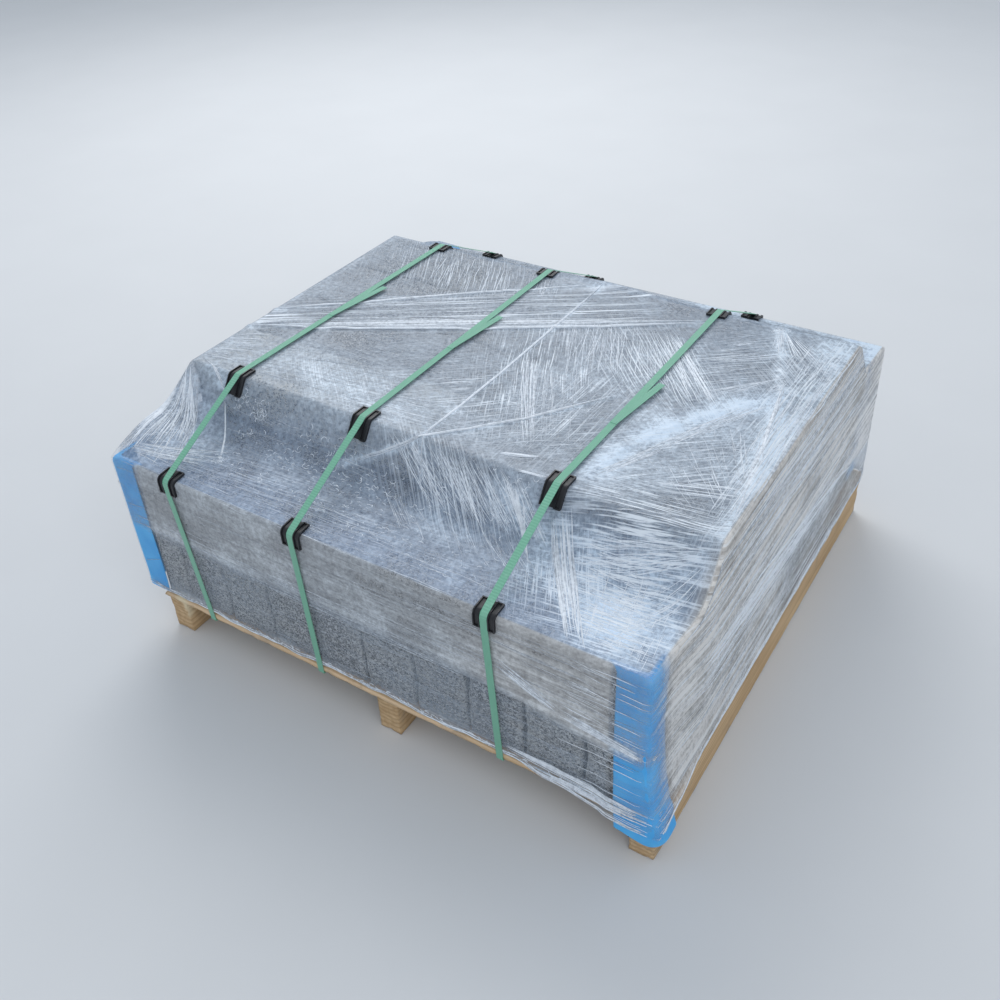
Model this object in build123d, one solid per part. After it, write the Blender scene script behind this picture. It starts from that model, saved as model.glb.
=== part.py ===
"""Pallet of granite kerbs: two square layers and a narrower top tier, wrapped, strapped and guarded."""
from build123d import *
import os

# Kerbs, in millimetres
KERB_WIDTH = 100.0           # the narrow side of the section
KERB_HEIGHT = 150.0          # the deep side of the section
KERB_ARRIS = 3.0             # eased long edges
BASE_LENGTH = 1000.0         # kerbs of the bottom layer, lying front to back
BASE_COUNT = 10
BASE_GAP = 4.5               # open joint between bottom kerbs
ROW_COUNT = 10               # middle layer: rows lying left to right
ROW_GAP = 0.5
ROW_JOINT = 5.0              # open joint between the two kerbs of a row
TOP_COUNT = 4                # top tier: rows of kerbs lying flat, left to right
TOP_GAP = 5.0
TOP_JOINT = 4.0              # open joint between the two kerbs of a top row
TOP_LENGTHS = (1030.0, 1022.0, 1034.0, 1026.0)
TOP_SHIFT = 18.0             # the top tier lies this far to the right

# Pallet
BEARER_WIDTH = 46.0
BEARER_HEIGHT = 87.0
BEARER_LENGTH = 1000.0
MIDDLE_BEARER_SHIFT = 10.0
BOARD_WIDTH = 120.0
BOARD_THICKNESS = 13.0
BOARD_GAP = 8.0              # least gap between two boards
PALLET_WIDTH = 1036.0
PALLET_DEPTH = 1018.0
PALLET_STEP = 28.0           # the pallet's middle lies this far right of the load's middle

# Corner guards, soft angle strips on the four upright corners
GUARD_LEAF = 55.0
GUARD_THICKNESS = 5.0
GUARD_RADIUS = 9.0
GUARD_FOOT = 2.0             # above the deck
FLARE_REACH = 4.0            # how far the front right guard stands off the deck's end
FLARE_DROP = 40.0            # below the deck's underside

# Stretch film, shown as one thin skin
FILM_THICKNESS = 1.0
FILM_RADIUS = 8.0            # inside radius over the stone edges
FILM_FOOT = 14.0             # lower edge above the deck
HEM_DROP = 10.0              # on the right it hangs this far below the deck's top
HEM_REACH = 1.0              # and this far outside the deck's ends
SAG_RUN = 62.0               # where the film comes down in front of the top tier
SAG_RISE = 12.0              # and how high it still lies there
SAG_RADIUS = 110.0

# Straps and their edge protectors
STRAP_WIDTH = 12.5
STRAP_THICKNESS = 0.9
STRAP_PLACES = {"left": -370.0, "middle": -101.0, "right": 264.0}
TAIL_STARTS = {"left": -59.0, "middle": -55.0, "right": -129.0}
TAIL_LENGTH = 145.0
TAIL_ANGLE = 7.0
WELD_SINK = 0.2              # the tail is welded this deep into the band below it
CORNER_CLEARANCE = 0.5       # strap round the deck's sharp lower corners
PROTECTOR_WIDTH = 42.0
PROTECTOR_LEG = 32.0
PROTECTOR_THICKNESS = 3.0
RIB_WIDTH = 2.5              # guide ribs and outer rims
RIB_HEIGHT = 2.5
RIB_SIDE_GAP = 1.5           # between the strap's edge and a guide rib

CLEARANCE = 0.3              # soft pieces stand this far off what they lie on

# Levels and outer sizes that follow from the above
DECK_TOP = BEARER_HEIGHT + BOARD_THICKNESS
MIDDLE_FLOOR = DECK_TOP + KERB_HEIGHT
TOP_FLOOR = MIDDLE_FLOOR + KERB_HEIGHT
LOAD_TOP = TOP_FLOOR + KERB_WIDTH
LOAD_WIDTH = BASE_COUNT * KERB_WIDTH + (BASE_COUNT - 1) * BASE_GAP
ROWS_DEPTH = ROW_COUNT * KERB_WIDTH + (ROW_COUNT - 1) * ROW_GAP
LOAD_DEPTH = max(BASE_LENGTH, ROWS_DEPTH)
TOP_DEPTH = TOP_COUNT * KERB_HEIGHT + (TOP_COUNT - 1) * TOP_GAP
GUARD_OUT = CLEARANCE + GUARD_THICKNESS
FILM_LEFT = max(LOAD_WIDTH / 2 + GUARD_OUT, max(TOP_LENGTHS) / 2 - TOP_SHIFT) + CLEARANCE
FILM_RIGHT = max(LOAD_WIDTH / 2 + GUARD_OUT, max(TOP_LENGTHS) / 2 + TOP_SHIFT) + CLEARANCE
FILM_Y = LOAD_DEPTH / 2 + GUARD_OUT + CLEARANCE
FILM_BOTTOM = DECK_TOP + FILM_FOOT
HEM_BOTTOM = DECK_TOP - HEM_DROP
BOARD_COUNT = int((PALLET_DEPTH + BOARD_GAP) // (BOARD_WIDTH + BOARD_GAP))
PALLET_FRONT = -max(PALLET_DEPTH, BEARER_LENGTH) / 2
PALLET_RIGHT = PALLET_WIDTH / 2 + PALLET_STEP
HEM_RIGHT = max(FILM_RIGHT, PALLET_RIGHT + HEM_REACH)

# The origin is the middle of the whole footprint, so load and pallet stand either side of it
LEFT_REACH = max(FILM_LEFT + FILM_THICKNESS, PALLET_WIDTH / 2 - PALLET_STEP)
RIGHT_REACH = max(HEM_RIGHT + FILM_THICKNESS, PALLET_RIGHT + FLARE_REACH + GUARD_THICKNESS)
LOAD_X = (LEFT_REACH - RIGHT_REACH) / 2
PALLET_X = LOAD_X + PALLET_STEP


def kerb(length, width, height):
    """A kerb lying along X on the plane z = 0, centred, with eased long edges."""
    profile = Plane.YZ * Rectangle(width, height)
    profile = chamfer(profile.vertices(), KERB_ARRIS)
    return Pos(-length / 2, 0, height / 2) * extrude(profile, length, dir=(1, 0, 0))


def base_kerbs():
    """The bottom layer: kerbs on edge, ends to the front and back."""
    pitch = KERB_WIDTH + BASE_GAP
    first = LOAD_X - (BASE_COUNT - 1) * pitch / 2
    for i in range(BASE_COUNT):
        place = Pos(first + i * pitch, 0, DECK_TOP) * Rot(0, 0, 90)
        yield f"base_kerb_{i + 1:02d}", place * kerb(BASE_LENGTH, KERB_WIDTH, KERB_HEIGHT)


def kerb_pair(length, joint, width, height, x, y, z):
    """Two kerbs end to end, together as long as given, about the middle of their underside."""
    half = (length - joint) / 2
    step = (half + joint) / 2
    return Compound(children=[Pos(x + side * step, y, z) * kerb(half, width, height) for side in (-1, 1)])


def middle_rows():
    """The middle layer: kerbs on edge across the bottom ones, two to a row."""
    pitch = KERB_WIDTH + ROW_GAP
    first = -(ROW_COUNT - 1) * pitch / 2
    for i in range(ROW_COUNT):
        y = first + i * pitch
        pair = kerb_pair(LOAD_WIDTH, ROW_JOINT, KERB_WIDTH, KERB_HEIGHT, LOAD_X, y, MIDDLE_FLOOR)
        yield f"middle_row_{i + 1:02d}", pair


def top_kerbs():
    """The top tier: kerbs on their deep side, two to a row, set back from the front and the rear."""
    pitch = KERB_HEIGHT + TOP_GAP
    first = -(TOP_COUNT - 1) * pitch / 2
    for i, length in enumerate(TOP_LENGTHS):
        x, y = LOAD_X + TOP_SHIFT, first + i * pitch
        pair = kerb_pair(length, TOP_JOINT, KERB_HEIGHT, KERB_WIDTH, x, y, TOP_FLOOR)
        yield f"top_kerb_{i + 1:02d}", pair


def bearers():
    """Three timbers from front to back, which the forks go between."""
    side = (PALLET_WIDTH - BEARER_WIDTH) / 2
    for name, x in {"left": -side, "middle": MIDDLE_BEARER_SHIFT, "right": side}.items():
        timber = Box(BEARER_WIDTH, BEARER_LENGTH, BEARER_HEIGHT)
        yield f"bearer_{name}", Pos(PALLET_X + x, 0, BEARER_HEIGHT / 2) * timber


def deck_boards():
    """Boards across the bearers, spread evenly over the pallet's depth."""
    pitch = (PALLET_DEPTH - BOARD_WIDTH) / (BOARD_COUNT - 1)
    for i in range(BOARD_COUNT):
        y = -(PALLET_DEPTH - BOARD_WIDTH) / 2 + i * pitch
        board = Box(PALLET_WIDTH, BOARD_WIDTH, BOARD_THICKNESS)
        yield f"deck_board_{i + 1:02d}", Pos(PALLET_X, y, BEARER_HEIGHT + BOARD_THICKNESS / 2) * board


def angle_profile(leaf_x, leaf_y, corner_x, corner_y, z):
    """The L section of a guard at height z, with its stone side on the corner given."""
    out = GUARD_THICKNESS
    outer = Pos(corner_x + out - leaf_x / 2, corner_y - out + leaf_y / 2) * Rectangle(leaf_x, leaf_y)
    rounded = [v for v in outer.vertices() if v.X > corner_x and v.Y < corner_y]
    outer = fillet(rounded, GUARD_RADIUS)
    hollow = Pos(corner_x - leaf_x / 2, corner_y + leaf_y / 2) * Rectangle(leaf_x, leaf_y)
    return Pos(0, 0, z) * (outer - hollow)


def corner_guards():
    """An angle strip on each upright corner; the front right one is pulled down over the deck."""
    top = TOP_FLOOR + CLEARANCE - FILM_RADIUS
    foot = DECK_TOP + GUARD_FOOT
    corner_x = LOAD_WIDTH / 2 + CLEARANCE
    corner_y = -LOAD_DEPTH / 2 - CLEARANCE
    section = angle_profile(GUARD_LEAF, GUARD_LEAF, corner_x, corner_y, foot)
    strip = extrude(section, top - foot)
    yield "corner_guard_front_left", Pos(LOAD_X, 0, 0) * mirror(strip, Plane.YZ)
    yield "corner_guard_back_left", Pos(LOAD_X, 0, 0) * Rot(0, 0, 180) * strip
    yield "corner_guard_back_right", Pos(LOAD_X, 0, 0) * mirror(strip, Plane.XZ)

    flare_top = FILM_BOTTOM - 1.0
    upper = extrude(angle_profile(GUARD_LEAF, GUARD_LEAF, corner_x, corner_y, flare_top), top - flare_top)
    deck_x = PALLET_RIGHT + FLARE_REACH
    deck_y = PALLET_FRONT - CLEARANCE
    wider = GUARD_LEAF + deck_x - corner_x
    hem = DECK_TOP + 1.0
    foot = BEARER_HEIGHT - FLARE_DROP
    flare = loft([
        angle_profile(wider, GUARD_LEAF, deck_x, deck_y, hem),
        angle_profile(GUARD_LEAF, GUARD_LEAF, corner_x, corner_y, flare_top),
    ], ruled=True)
    skirt = extrude(angle_profile(wider, GUARD_LEAF, deck_x, deck_y, foot), hem - foot)
    yield "corner_guard_front_right", Pos(LOAD_X, 0, 0) * (upper + flare + skirt)


def symmetric_face(half):
    """A face in the side view from the points of its rear half, repeated at the front."""
    return make_face(Plane.YZ * Polyline(*half, *[(-y, z) for y, z in reversed(half)], close=True))


def film_outline():
    """The film's inner outline seen from the side: upright, over the edge, sagging up to the top tier."""
    y, top_y = FILM_Y, TOP_DEPTH / 2 + CLEARANCE
    low, high = TOP_FLOOR + CLEARANCE, LOAD_TOP + CLEARANCE
    sag_y = top_y + SAG_RUN
    half = [(y, HEM_BOTTOM), (y, low), (sag_y, low + SAG_RISE), (top_y, high)]
    face = symmetric_face(half)
    edges = [v for v in face.vertices() if v.Z > FILM_BOTTOM + 1 and abs(abs(v.Y) - sag_y) > 1]
    face = fillet(edges, FILM_RADIUS)
    dips = [v for v in face.vertices() if abs(abs(v.Y) - sag_y) < 1 and abs(v.Z - low - SAG_RISE) < 1]
    return fillet(dips, SAG_RADIUS)


def grown(outline, amount):
    """The outline moved outwards by an amount, all round."""
    return offset(outline, amount=amount, kind=Kind.ARC)


def film_plan(right, growth, z):
    """The film's rounded plan at height z, as far to the right as given."""
    plan = RectangleRounded(FILM_LEFT + right + 2 * growth, 2 * (FILM_Y + growth), GUARD_RADIUS + CLEARANCE + growth)
    return Pos((right - FILM_LEFT) / 2, 0, z) * plan


def film_body(outline, growth):
    """A closed body under the film: the side outline where it meets a plan that widens down to the deck."""
    side = extrude(grown(outline, growth) if growth else outline, FILM_LEFT + HEM_RIGHT, both=True)
    foot = HEM_BOTTOM - 2 * growth
    leaning = loft([film_plan(HEM_RIGHT, growth, foot), film_plan(FILM_RIGHT, growth, TOP_FLOOR)], ruled=True)
    return side & (leaning + extrude(film_plan(FILM_RIGHT, growth, TOP_FLOOR), LOAD_TOP))


def stretch_film(outline):
    """The film: one skin over the load, open below, with a hem over the deck's right ends."""
    below = Pos(0, 0, FILM_BOTTOM / 2) * Box(3 * HEM_RIGHT, 3 * FILM_Y, FILM_BOTTOM)
    front, back = GUARD_LEAF - LOAD_DEPTH / 2, LOAD_DEPTH / 2 - GUARD_RADIUS
    height = FILM_BOTTOM - HEM_BOTTOM
    hem = Pos(HEM_RIGHT, (front + back) / 2, HEM_BOTTOM + height / 2) * Box(FILM_FOOT, back - front, height)
    skin = film_body(outline, FILM_THICKNESS) - film_body(outline, 0) - (below - hem)
    return Pos(LOAD_X, 0, 0) * skin


def edge_protectors(outline):
    """Rimmed plastic angles between film and strap, on four edges under each strap."""
    seat = grown(outline, FILM_THICKNESS + CLEARANCE)
    plate = grown(seat, PROTECTOR_THICKNESS)
    rims = grown(plate, RIB_HEIGHT)
    corners = {"low": (FILM_Y, TOP_FLOOR), "high": (TOP_DEPTH / 2, LOAD_TOP)}
    rib_x = STRAP_WIDTH / 2 + RIB_SIDE_GAP + RIB_WIDTH / 2
    lip_x = (PROTECTOR_WIDTH - RIB_WIDTH) / 2
    wing = lip_x - rib_x
    for level, (y, z) in corners.items():
        reach = 2 * PROTECTOR_LEG
        window = Plane.YZ * Pos(-y, z) * Rectangle(reach, reach)
        middle = Plane.YZ * Pos(-y, z) * Rectangle(reach - 2 * RIB_WIDTH, reach - 2 * RIB_WIDTH)
        body = extrude((plate - seat) & window, PROTECTOR_WIDTH / 2, both=True)
        along = extrude((rims - seat) & window, RIB_WIDTH / 2, both=True)
        across = extrude(((rims - seat) & window) - middle, wing / 2, both=True)
        for side in (-1, 1):
            body += [Pos(side * lip_x, 0, 0) * along, Pos(side * rib_x, 0, 0) * along]
            body += Pos(side * (lip_x + rib_x) / 2, 0, 0) * across
        for strap, place in STRAP_PLACES.items():
            front = Pos(LOAD_X + place, 0, 0) * body
            yield f"protector_{strap}_front_{level}", front
            yield f"protector_{strap}_back_{level}", mirror(front, Plane.XZ)


def strap_inside(outline):
    """What a strap closes round: the protectors' bends and legs, then the deck's lower corners."""
    bend = FILM_RADIUS + FILM_THICKNESS + 2 * CLEARANCE + PROTECTOR_THICKNESS
    arcs = [e for e in outline.edges().filter_by(GeomType.CIRCLE) if e.radius < SAG_RADIUS / 2]
    centres = sorted((e.arc_center.Z, e.arc_center.Y) for e in arcs if e.arc_center.Y > 0)
    upper = [(y, z) for z, y in centres]
    leg_y = FILM_Y + bend - FILM_RADIUS
    deck = (PALLET_DEPTH / 2 + CORNER_CLEARANCE, BEARER_HEIGHT - CORNER_CLEARANCE)
    stone_foot = (FILM_Y + FILM_THICKNESS + CLEARANCE, DECK_TOP)
    leg_foot = (leg_y, TOP_FLOOR - PROTECTOR_LEG)
    inside = grown(symmetric_face(upper), bend)
    inside += symmetric_face([deck, leg_foot, (leg_y, upper[0][1])])
    return inside + symmetric_face([deck, stone_foot, leg_foot])


def straps(outline):
    """Each strap is one closed band, pulled tight over the protectors and under the deck."""
    inside = strap_inside(outline)
    band = grown(inside, STRAP_THICKNESS) - inside
    weld = band.bounding_box().max.Z - WELD_SINK
    for strap, place in STRAP_PLACES.items():
        loop = extrude(band, STRAP_WIDTH / 2, both=True)
        tail = Pos(0, TAIL_LENGTH / 2, STRAP_THICKNESS / 2) * Box(STRAP_WIDTH, TAIL_LENGTH, STRAP_THICKNESS)
        tail = Pos(0, TAIL_STARTS[strap], weld) * Rot(0, 0, -TAIL_ANGLE) * tail
        yield f"strap_{strap}", Pos(LOAD_X + place, 0, 0) * (loop + tail)


def main():
    os.makedirs("parts", exist_ok=True)
    outline = film_outline()
    groups = [
        bearers(), deck_boards(), base_kerbs(), middle_rows(), top_kerbs(), corner_guards(),
        [("stretch_film", stretch_film(outline))], edge_protectors(outline), straps(outline),
    ]
    for group in groups:
        for name, shape in group:
            export_step(shape, f"parts/{name}.step")


main()
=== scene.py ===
"""The looks of a pallet of granite kerbs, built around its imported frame."""
import math
import random

import bpy
import numpy as np
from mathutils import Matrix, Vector, noise


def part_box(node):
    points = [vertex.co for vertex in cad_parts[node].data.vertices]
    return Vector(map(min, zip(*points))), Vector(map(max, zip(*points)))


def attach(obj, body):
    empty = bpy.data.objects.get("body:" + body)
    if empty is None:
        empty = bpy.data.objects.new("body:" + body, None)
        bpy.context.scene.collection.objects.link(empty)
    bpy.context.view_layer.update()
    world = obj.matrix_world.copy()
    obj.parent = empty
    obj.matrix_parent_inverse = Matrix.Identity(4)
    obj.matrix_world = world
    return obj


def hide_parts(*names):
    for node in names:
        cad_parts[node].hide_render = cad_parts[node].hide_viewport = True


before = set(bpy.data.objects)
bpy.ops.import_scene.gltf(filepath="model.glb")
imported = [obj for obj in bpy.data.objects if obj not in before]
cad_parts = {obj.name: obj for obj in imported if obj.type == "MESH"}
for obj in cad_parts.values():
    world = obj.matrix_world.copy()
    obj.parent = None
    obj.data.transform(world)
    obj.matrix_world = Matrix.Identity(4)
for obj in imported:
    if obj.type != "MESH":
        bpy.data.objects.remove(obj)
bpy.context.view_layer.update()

MM = 0.001


def box_mm(node):
    """A CAD node's lowest and highest corner, in millimetres."""
    low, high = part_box(node)
    return np.array(low) / MM, np.array(high) / MM


def nodes_named(*starts):
    """The frame's nodes whose names start with one of these, in order."""
    return sorted(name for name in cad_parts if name.startswith(starts))


# Places that the frame gives, in millimetres
LOAD_X = (box_mm("base_kerb_01")[0][0] + box_mm("base_kerb_10")[1][0]) / 2
FILM_LOW, FILM_HIGH = box_mm("stretch_film")
TOP_LOW = np.min([box_mm(f"top_kerb_{i:02d}")[0] for i in range(1, 5)], axis=0)
TOP_HIGH = np.max([box_mm(f"top_kerb_{i:02d}")[1] for i in range(1, 5)], axis=0)
ROW_LOW, ROW_HIGH = box_mm("middle_row_01")
DECK_TOP = box_mm("deck_board_01")[1][2]
PALLET_LEFT = box_mm("deck_board_01")[0][0]
FLARE_LOW, FLARE_HIGH = box_mm("corner_guard_front_right")
STRAP_X = {name: sum(box_mm(f"protector_{name}_front_low")[i][0] for i in (0, 1)) / 2 - LOAD_X
           for name in ("left", "middle", "right")}


# Camera, from the straps' bends, the kerbs' joints and the bearers' ends in the photograph
CAMERA_PLACE = (LOAD_X + 877.1, -1369.05, DECK_TOP + 1329.7)
CAMERA_AZIMUTH = math.radians(33.93)
CAMERA_ELEVATION = math.radians(37.95)
CAMERA_ROLL = math.radians(2.79)
FOCAL_PIXELS = 1032.81
PICTURE_PIXELS = 1000.0
SENSOR = 36.0


def add_camera():
    """The camera at the photograph's place, with its slight roll."""
    data = bpy.data.cameras.new("camera")
    data.sensor_width = SENSOR
    data.sensor_fit = "HORIZONTAL"
    data.lens = SENSOR * FOCAL_PIXELS / PICTURE_PIXELS
    data.clip_end = 50.0
    camera = bpy.data.objects.new("camera", data)
    bpy.context.scene.collection.objects.link(camera)
    az, el, roll = CAMERA_AZIMUTH, CAMERA_ELEVATION, CAMERA_ROLL
    forward = Vector((-math.sin(az) * math.cos(el), math.cos(az) * math.cos(el), -math.sin(el)))
    level = forward.cross(Vector((0, 0, 1))).normalized()
    lower = forward.cross(level)
    right = level * math.cos(roll) + lower * math.sin(roll)
    down = lower * math.cos(roll) - level * math.sin(roll)
    matrix = camera.matrix_world.to_3x3()
    matrix.col[0], matrix.col[1], matrix.col[2] = right, -down, -forward
    camera.matrix_world = matrix.to_4x4()
    camera.location = Vector(CAMERA_PLACE) * MM
    bpy.context.scene.camera = camera


def climb(value, start, over):
    """0 up to start, growing evenly to 1 at start + over; with over below 0 it grows the other way."""
    return np.clip((value - start) / over, 0, 1)


def bell(value, middle, width):
    """1 at the middle, falling off smoothly to both sides."""
    return np.exp(-((value - middle) / width) ** 2)


def unit(rows):
    """Directions scaled to length 1."""
    return rows / np.linalg.norm(rows, axis=1)[:, None]


def steps_of(points):
    """The way along a line of points at each of them."""
    return np.concatenate([[0], np.cumsum(np.linalg.norm(np.diff(points, axis=0), axis=1))])


# Materials
class Material:
    """A new material, with short ways to add nodes to its tree."""

    def __init__(self, name, **constants):
        self.data = bpy.data.materials.new(name)
        self.data.use_nodes = True
        self.tree = self.data.node_tree
        self.shader = self.tree.nodes["Principled BSDF"]
        for key, value in constants.items():
            self.shader.inputs[key.replace("_", " ")].default_value = value
        self.place = self.add("ShaderNodeTexCoord").outputs["Object"]

    def add(self, kind, inputs=None, **settings):
        """A shader node with its settings, its inputs linked to sockets or set to values."""
        made = self.tree.nodes.new(kind)
        for key, value in settings.items():
            setattr(made, key, value)
        for key, value in (inputs or {}).items():
            if isinstance(value, bpy.types.NodeSocket):
                self.tree.links.new(value, made.inputs[key])
            else:
                made.inputs[key].default_value = value
        return made

    def link(self, **sockets):
        """Sockets for the shader's own inputs."""
        for key, socket in sockets.items():
            self.tree.links.new(socket, self.shader.inputs[key.replace("_", " ")])

    def maths(self, operation, first, second=0.0):
        return self.add("ShaderNodeMath", {0: first, 1: second}, operation=operation).outputs[0]

    def plus(self, first, second):
        return self.maths("ADD", first, second)

    def times(self, first, second):
        return self.maths("MULTIPLY", first, second)

    def vector(self, operation, first, second):
        return self.add("ShaderNodeVectorMath", {0: first, 1: second}, operation=operation).outputs[0]

    def mix(self, factor, first, second):
        """One colour blended into another; a plain colour is written as red, green and blue."""
        first, second = (c if isinstance(c, bpy.types.NodeSocket) else (*c, 1) for c in (first, second))
        return self.add("ShaderNodeMix", {0: factor, 6: first, 7: second}, data_type="RGBA").outputs[2]

    def ramp(self, value, low, high, bottom=0.0, top=1.0):
        inputs = {"Value": value, "From Min": low, "From Max": high, "To Min": bottom, "To Max": top}
        return self.add("ShaderNodeMapRange", inputs, interpolation_type="SMOOTHSTEP").outputs[0]

    def noise(self, scale, detail=2.0, roughness=0.5, distortion=0.0, place=None):
        """Grey noise, over the object's own place where no other is given."""
        inputs = {"Vector": self.place if place is None else place, "Scale": scale, "Detail": detail,
                  "Roughness": roughness, "Distortion": distortion}
        return self.add("ShaderNodeTexNoise", inputs).outputs["Fac"]

    def shaken(self, scale, amount):
        """The object's own place, shaken by coloured noise."""
        inputs = {"Vector": self.place, "Scale": scale, "Detail": 1.0}
        colour = self.add("ShaderNodeTexNoise", inputs).outputs["Color"]
        return self.vector("ADD", self.place, self.vector("MULTIPLY", colour, (amount,) * 3))

    def value(self, name):
        """A value that the mesh carries on its points."""
        return self.add("ShaderNodeAttribute", attribute_name=name).outputs["Fac"]

    def bump(self, height, distance, strength):
        inputs = {"Height": height, "Distance": distance, "Strength": strength}
        self.link(Normal=self.add("ShaderNodeBump", inputs).outputs["Normal"])


def granite_material():
    """Speckled grey granite: mica, quartz and feldspar grains, paler on chipped edges."""
    m = Material("granite", Roughness=0.75)
    shifted = m.shaken(220.0, 0.004)
    grain, patch = (
        m.add("ShaderNodeSeparateColor", {
            0: m.add("ShaderNodeTexVoronoi", {"Vector": shifted, "Scale": scale}).outputs["Color"],
        }).outputs
        for scale in (430.0, 190.0)
    )
    dark = m.ramp(grain[0], 0.70, 0.76)
    pale = m.ramp(grain[1], 0.60, 0.72)
    large = m.ramp(patch[0], 0.80, 0.86, top=0.6)
    tone = m.value("tone")
    body = m.mix(tone, (0.22, 0.222, 0.225), (0.62, 0.61, 0.56))
    light = m.mix(tone, (0.60, 0.61, 0.62), (0.82, 0.81, 0.76))
    colour = m.mix(pale, body, light)
    colour = m.mix(large, colour, light)
    colour = m.mix(dark, colour, (0.035, 0.036, 0.04))
    cloud = m.ramp(m.noise(9.0, 4.0, 0.6), 0.35, 0.7)
    colour = m.mix(m.times(cloud, 0.25), colour, (0.30, 0.28, 0.25))
    worn = m.times(m.value("chip"), m.ramp(grain[2], 0.25, 0.5))
    colour = m.mix(m.times(worn, 0.75), colour, (0.62, 0.62, 0.61))
    m.link(Base_Color=colour)
    m.bump(m.plus(grain[2], m.noise(160.0, 4.0, 0.7)), 0.0009, 0.7)
    return m.data


def timber_material(name, along, pale, dark):
    """Rough sawn softwood with its grain along X or Y, end grain rings, knots, dirt and a torn patch."""
    m = Material(name, Roughness=0.82)

    def grain_place(lengthwise, across, rotation=(0.0, 0.0, 0.0)):
        scale = (lengthwise, across, across) if along == "X" else (across, lengthwise, across)
        inputs = {"Vector": m.place, "Scale": scale, "Rotation": rotation}
        return m.add("ShaderNodeMapping", inputs).outputs[0]

    fibres = m.noise(1.0, 6.0, 0.62, 0.4, place=grain_place(4.0, 70.0))
    rings = m.add("ShaderNodeTexWave", {
        "Vector": grain_place(0.6, 22.0, (0.05, 0.04, 0.03)), "Scale": 1.6, "Distortion": 5.0,
        "Detail": 2.0, "Detail Scale": 0.7,
    }, wave_type="RINGS").outputs["Fac"]
    knots = m.add("ShaderNodeTexVoronoi", {"Vector": m.place, "Scale": 5.5}).outputs["Distance"]
    ring_colour = tuple(part * share for part, share in zip(dark, (0.75, 0.66, 0.55)))
    colour = m.mix(m.ramp(fibres, 0.3, 0.7), dark, pale)
    colour = m.mix(m.ramp(rings, 0.35, 0.9, top=0.45), colour, ring_colour)
    colour = m.mix(m.times(m.ramp(knots, 0.10, 0.045), 0.8), colour, (0.13, 0.065, 0.03))
    dirt = m.ramp(m.noise(14.0, 5.0, 0.7), 0.52, 0.72, top=0.55)
    colour = m.mix(dirt, colour, (0.20, 0.17, 0.14))
    m.link(Base_Color=m.mix(m.value("torn"), colour, (0.74, 0.62, 0.42)))
    m.bump(m.plus(fibres, m.times(rings, 0.3)), 0.002, 0.8)
    return m.data


def guard_material():
    """Light blue closed-cell foam, soft and faintly mottled."""
    m = Material("guard_foam", Roughness=0.55, Subsurface_Weight=0.15, Subsurface_Radius=(0.004, 0.006, 0.01))
    cells = m.noise(420.0)
    mottle = m.noise(18.0, 3.0)
    m.link(Base_Color=m.mix(m.ramp(mottle, 0.3, 0.7), (0.045, 0.37, 0.80), (0.09, 0.48, 0.90)))
    m.bump(m.plus(m.times(cells, 0.25), mottle), 0.002, 0.5)
    return m.data


def protector_material():
    """Black moulded plastic, matt with dusty spots."""
    m = Material("protector_plastic", Roughness=0.5)
    dust = m.ramp(m.noise(60.0, 5.0, 0.7), 0.5, 0.75, top=0.5)
    colour = m.mix(dust, (0.010, 0.010, 0.013), (0.030, 0.032, 0.036))
    m.link(Base_Color=colour, Roughness=m.ramp(dust, 0.0, 0.5, 0.42, 0.7))
    m.bump(m.noise(900.0), 0.0004, 0.6)
    return m.data


LOZENGE_PITCH = 0.0042       # metres


def strap_material():
    """Green polyester band with an embossed lozenge pattern and pale worn places."""
    m = Material("strap_band", Roughness=0.34, Specular_IOR_Level=0.8)
    x, y, z = m.add("ShaderNodeSeparateXYZ", {0: m.place}).outputs
    run = m.maths("SUBTRACT", y, z)
    first, second = (
        m.maths("SINE", m.times(m.maths(operation, x, run), 2 * math.pi / LOZENGE_PITCH))
        for operation in ("ADD", "SUBTRACT")
    )
    lozenge = m.times(first, second)
    colour = m.mix(m.ramp(lozenge, -0.5, 0.6), (0.16, 0.45, 0.30), (0.21, 0.53, 0.37))
    wear = m.ramp(m.noise(45.0, 4.0, 0.7), 0.55, 0.75, top=0.35)
    m.link(Base_Color=m.mix(wear, colour, (0.34, 0.60, 0.47)))
    m.bump(lozenge, 0.0004, 0.8)
    return m.data


# Meshes
def mesh_object(name, points, faces, material, values=None):
    """A smooth mesh from points in millimetres, with named values on its points."""
    mesh = bpy.data.meshes.new(name)
    mesh.from_pydata((np.asarray(points) * MM).tolist(), [], [tuple(int(i) for i in f) for f in faces])
    for key, numbers in (values or {}).items():
        mesh.attributes.new(key, "FLOAT", "POINT").data.foreach_set("value", np.asarray(numbers, np.float32))
    mesh.polygons.foreach_set("use_smooth", [True] * len(mesh.polygons))
    mesh.materials.append(material)
    mesh.validate()
    made = bpy.data.objects.new(name, mesh)
    bpy.context.scene.collection.objects.link(made)
    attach(made, "root")
    return made


def grid_faces(rows, columns, offset=0, closed=False, turned=False):
    """Quads of a grid of rows by columns points; closed joins each row's ends."""
    faces = []
    for r in range(rows - 1):
        for c in range(columns if closed else columns - 1):
            d = (c + 1) % columns
            quad = (offset + r * columns + c, offset + r * columns + d,
                    offset + (r + 1) * columns + d, offset + (r + 1) * columns + c)
            faces.append(quad[::-1] if turned else quad)
    return faces


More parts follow.
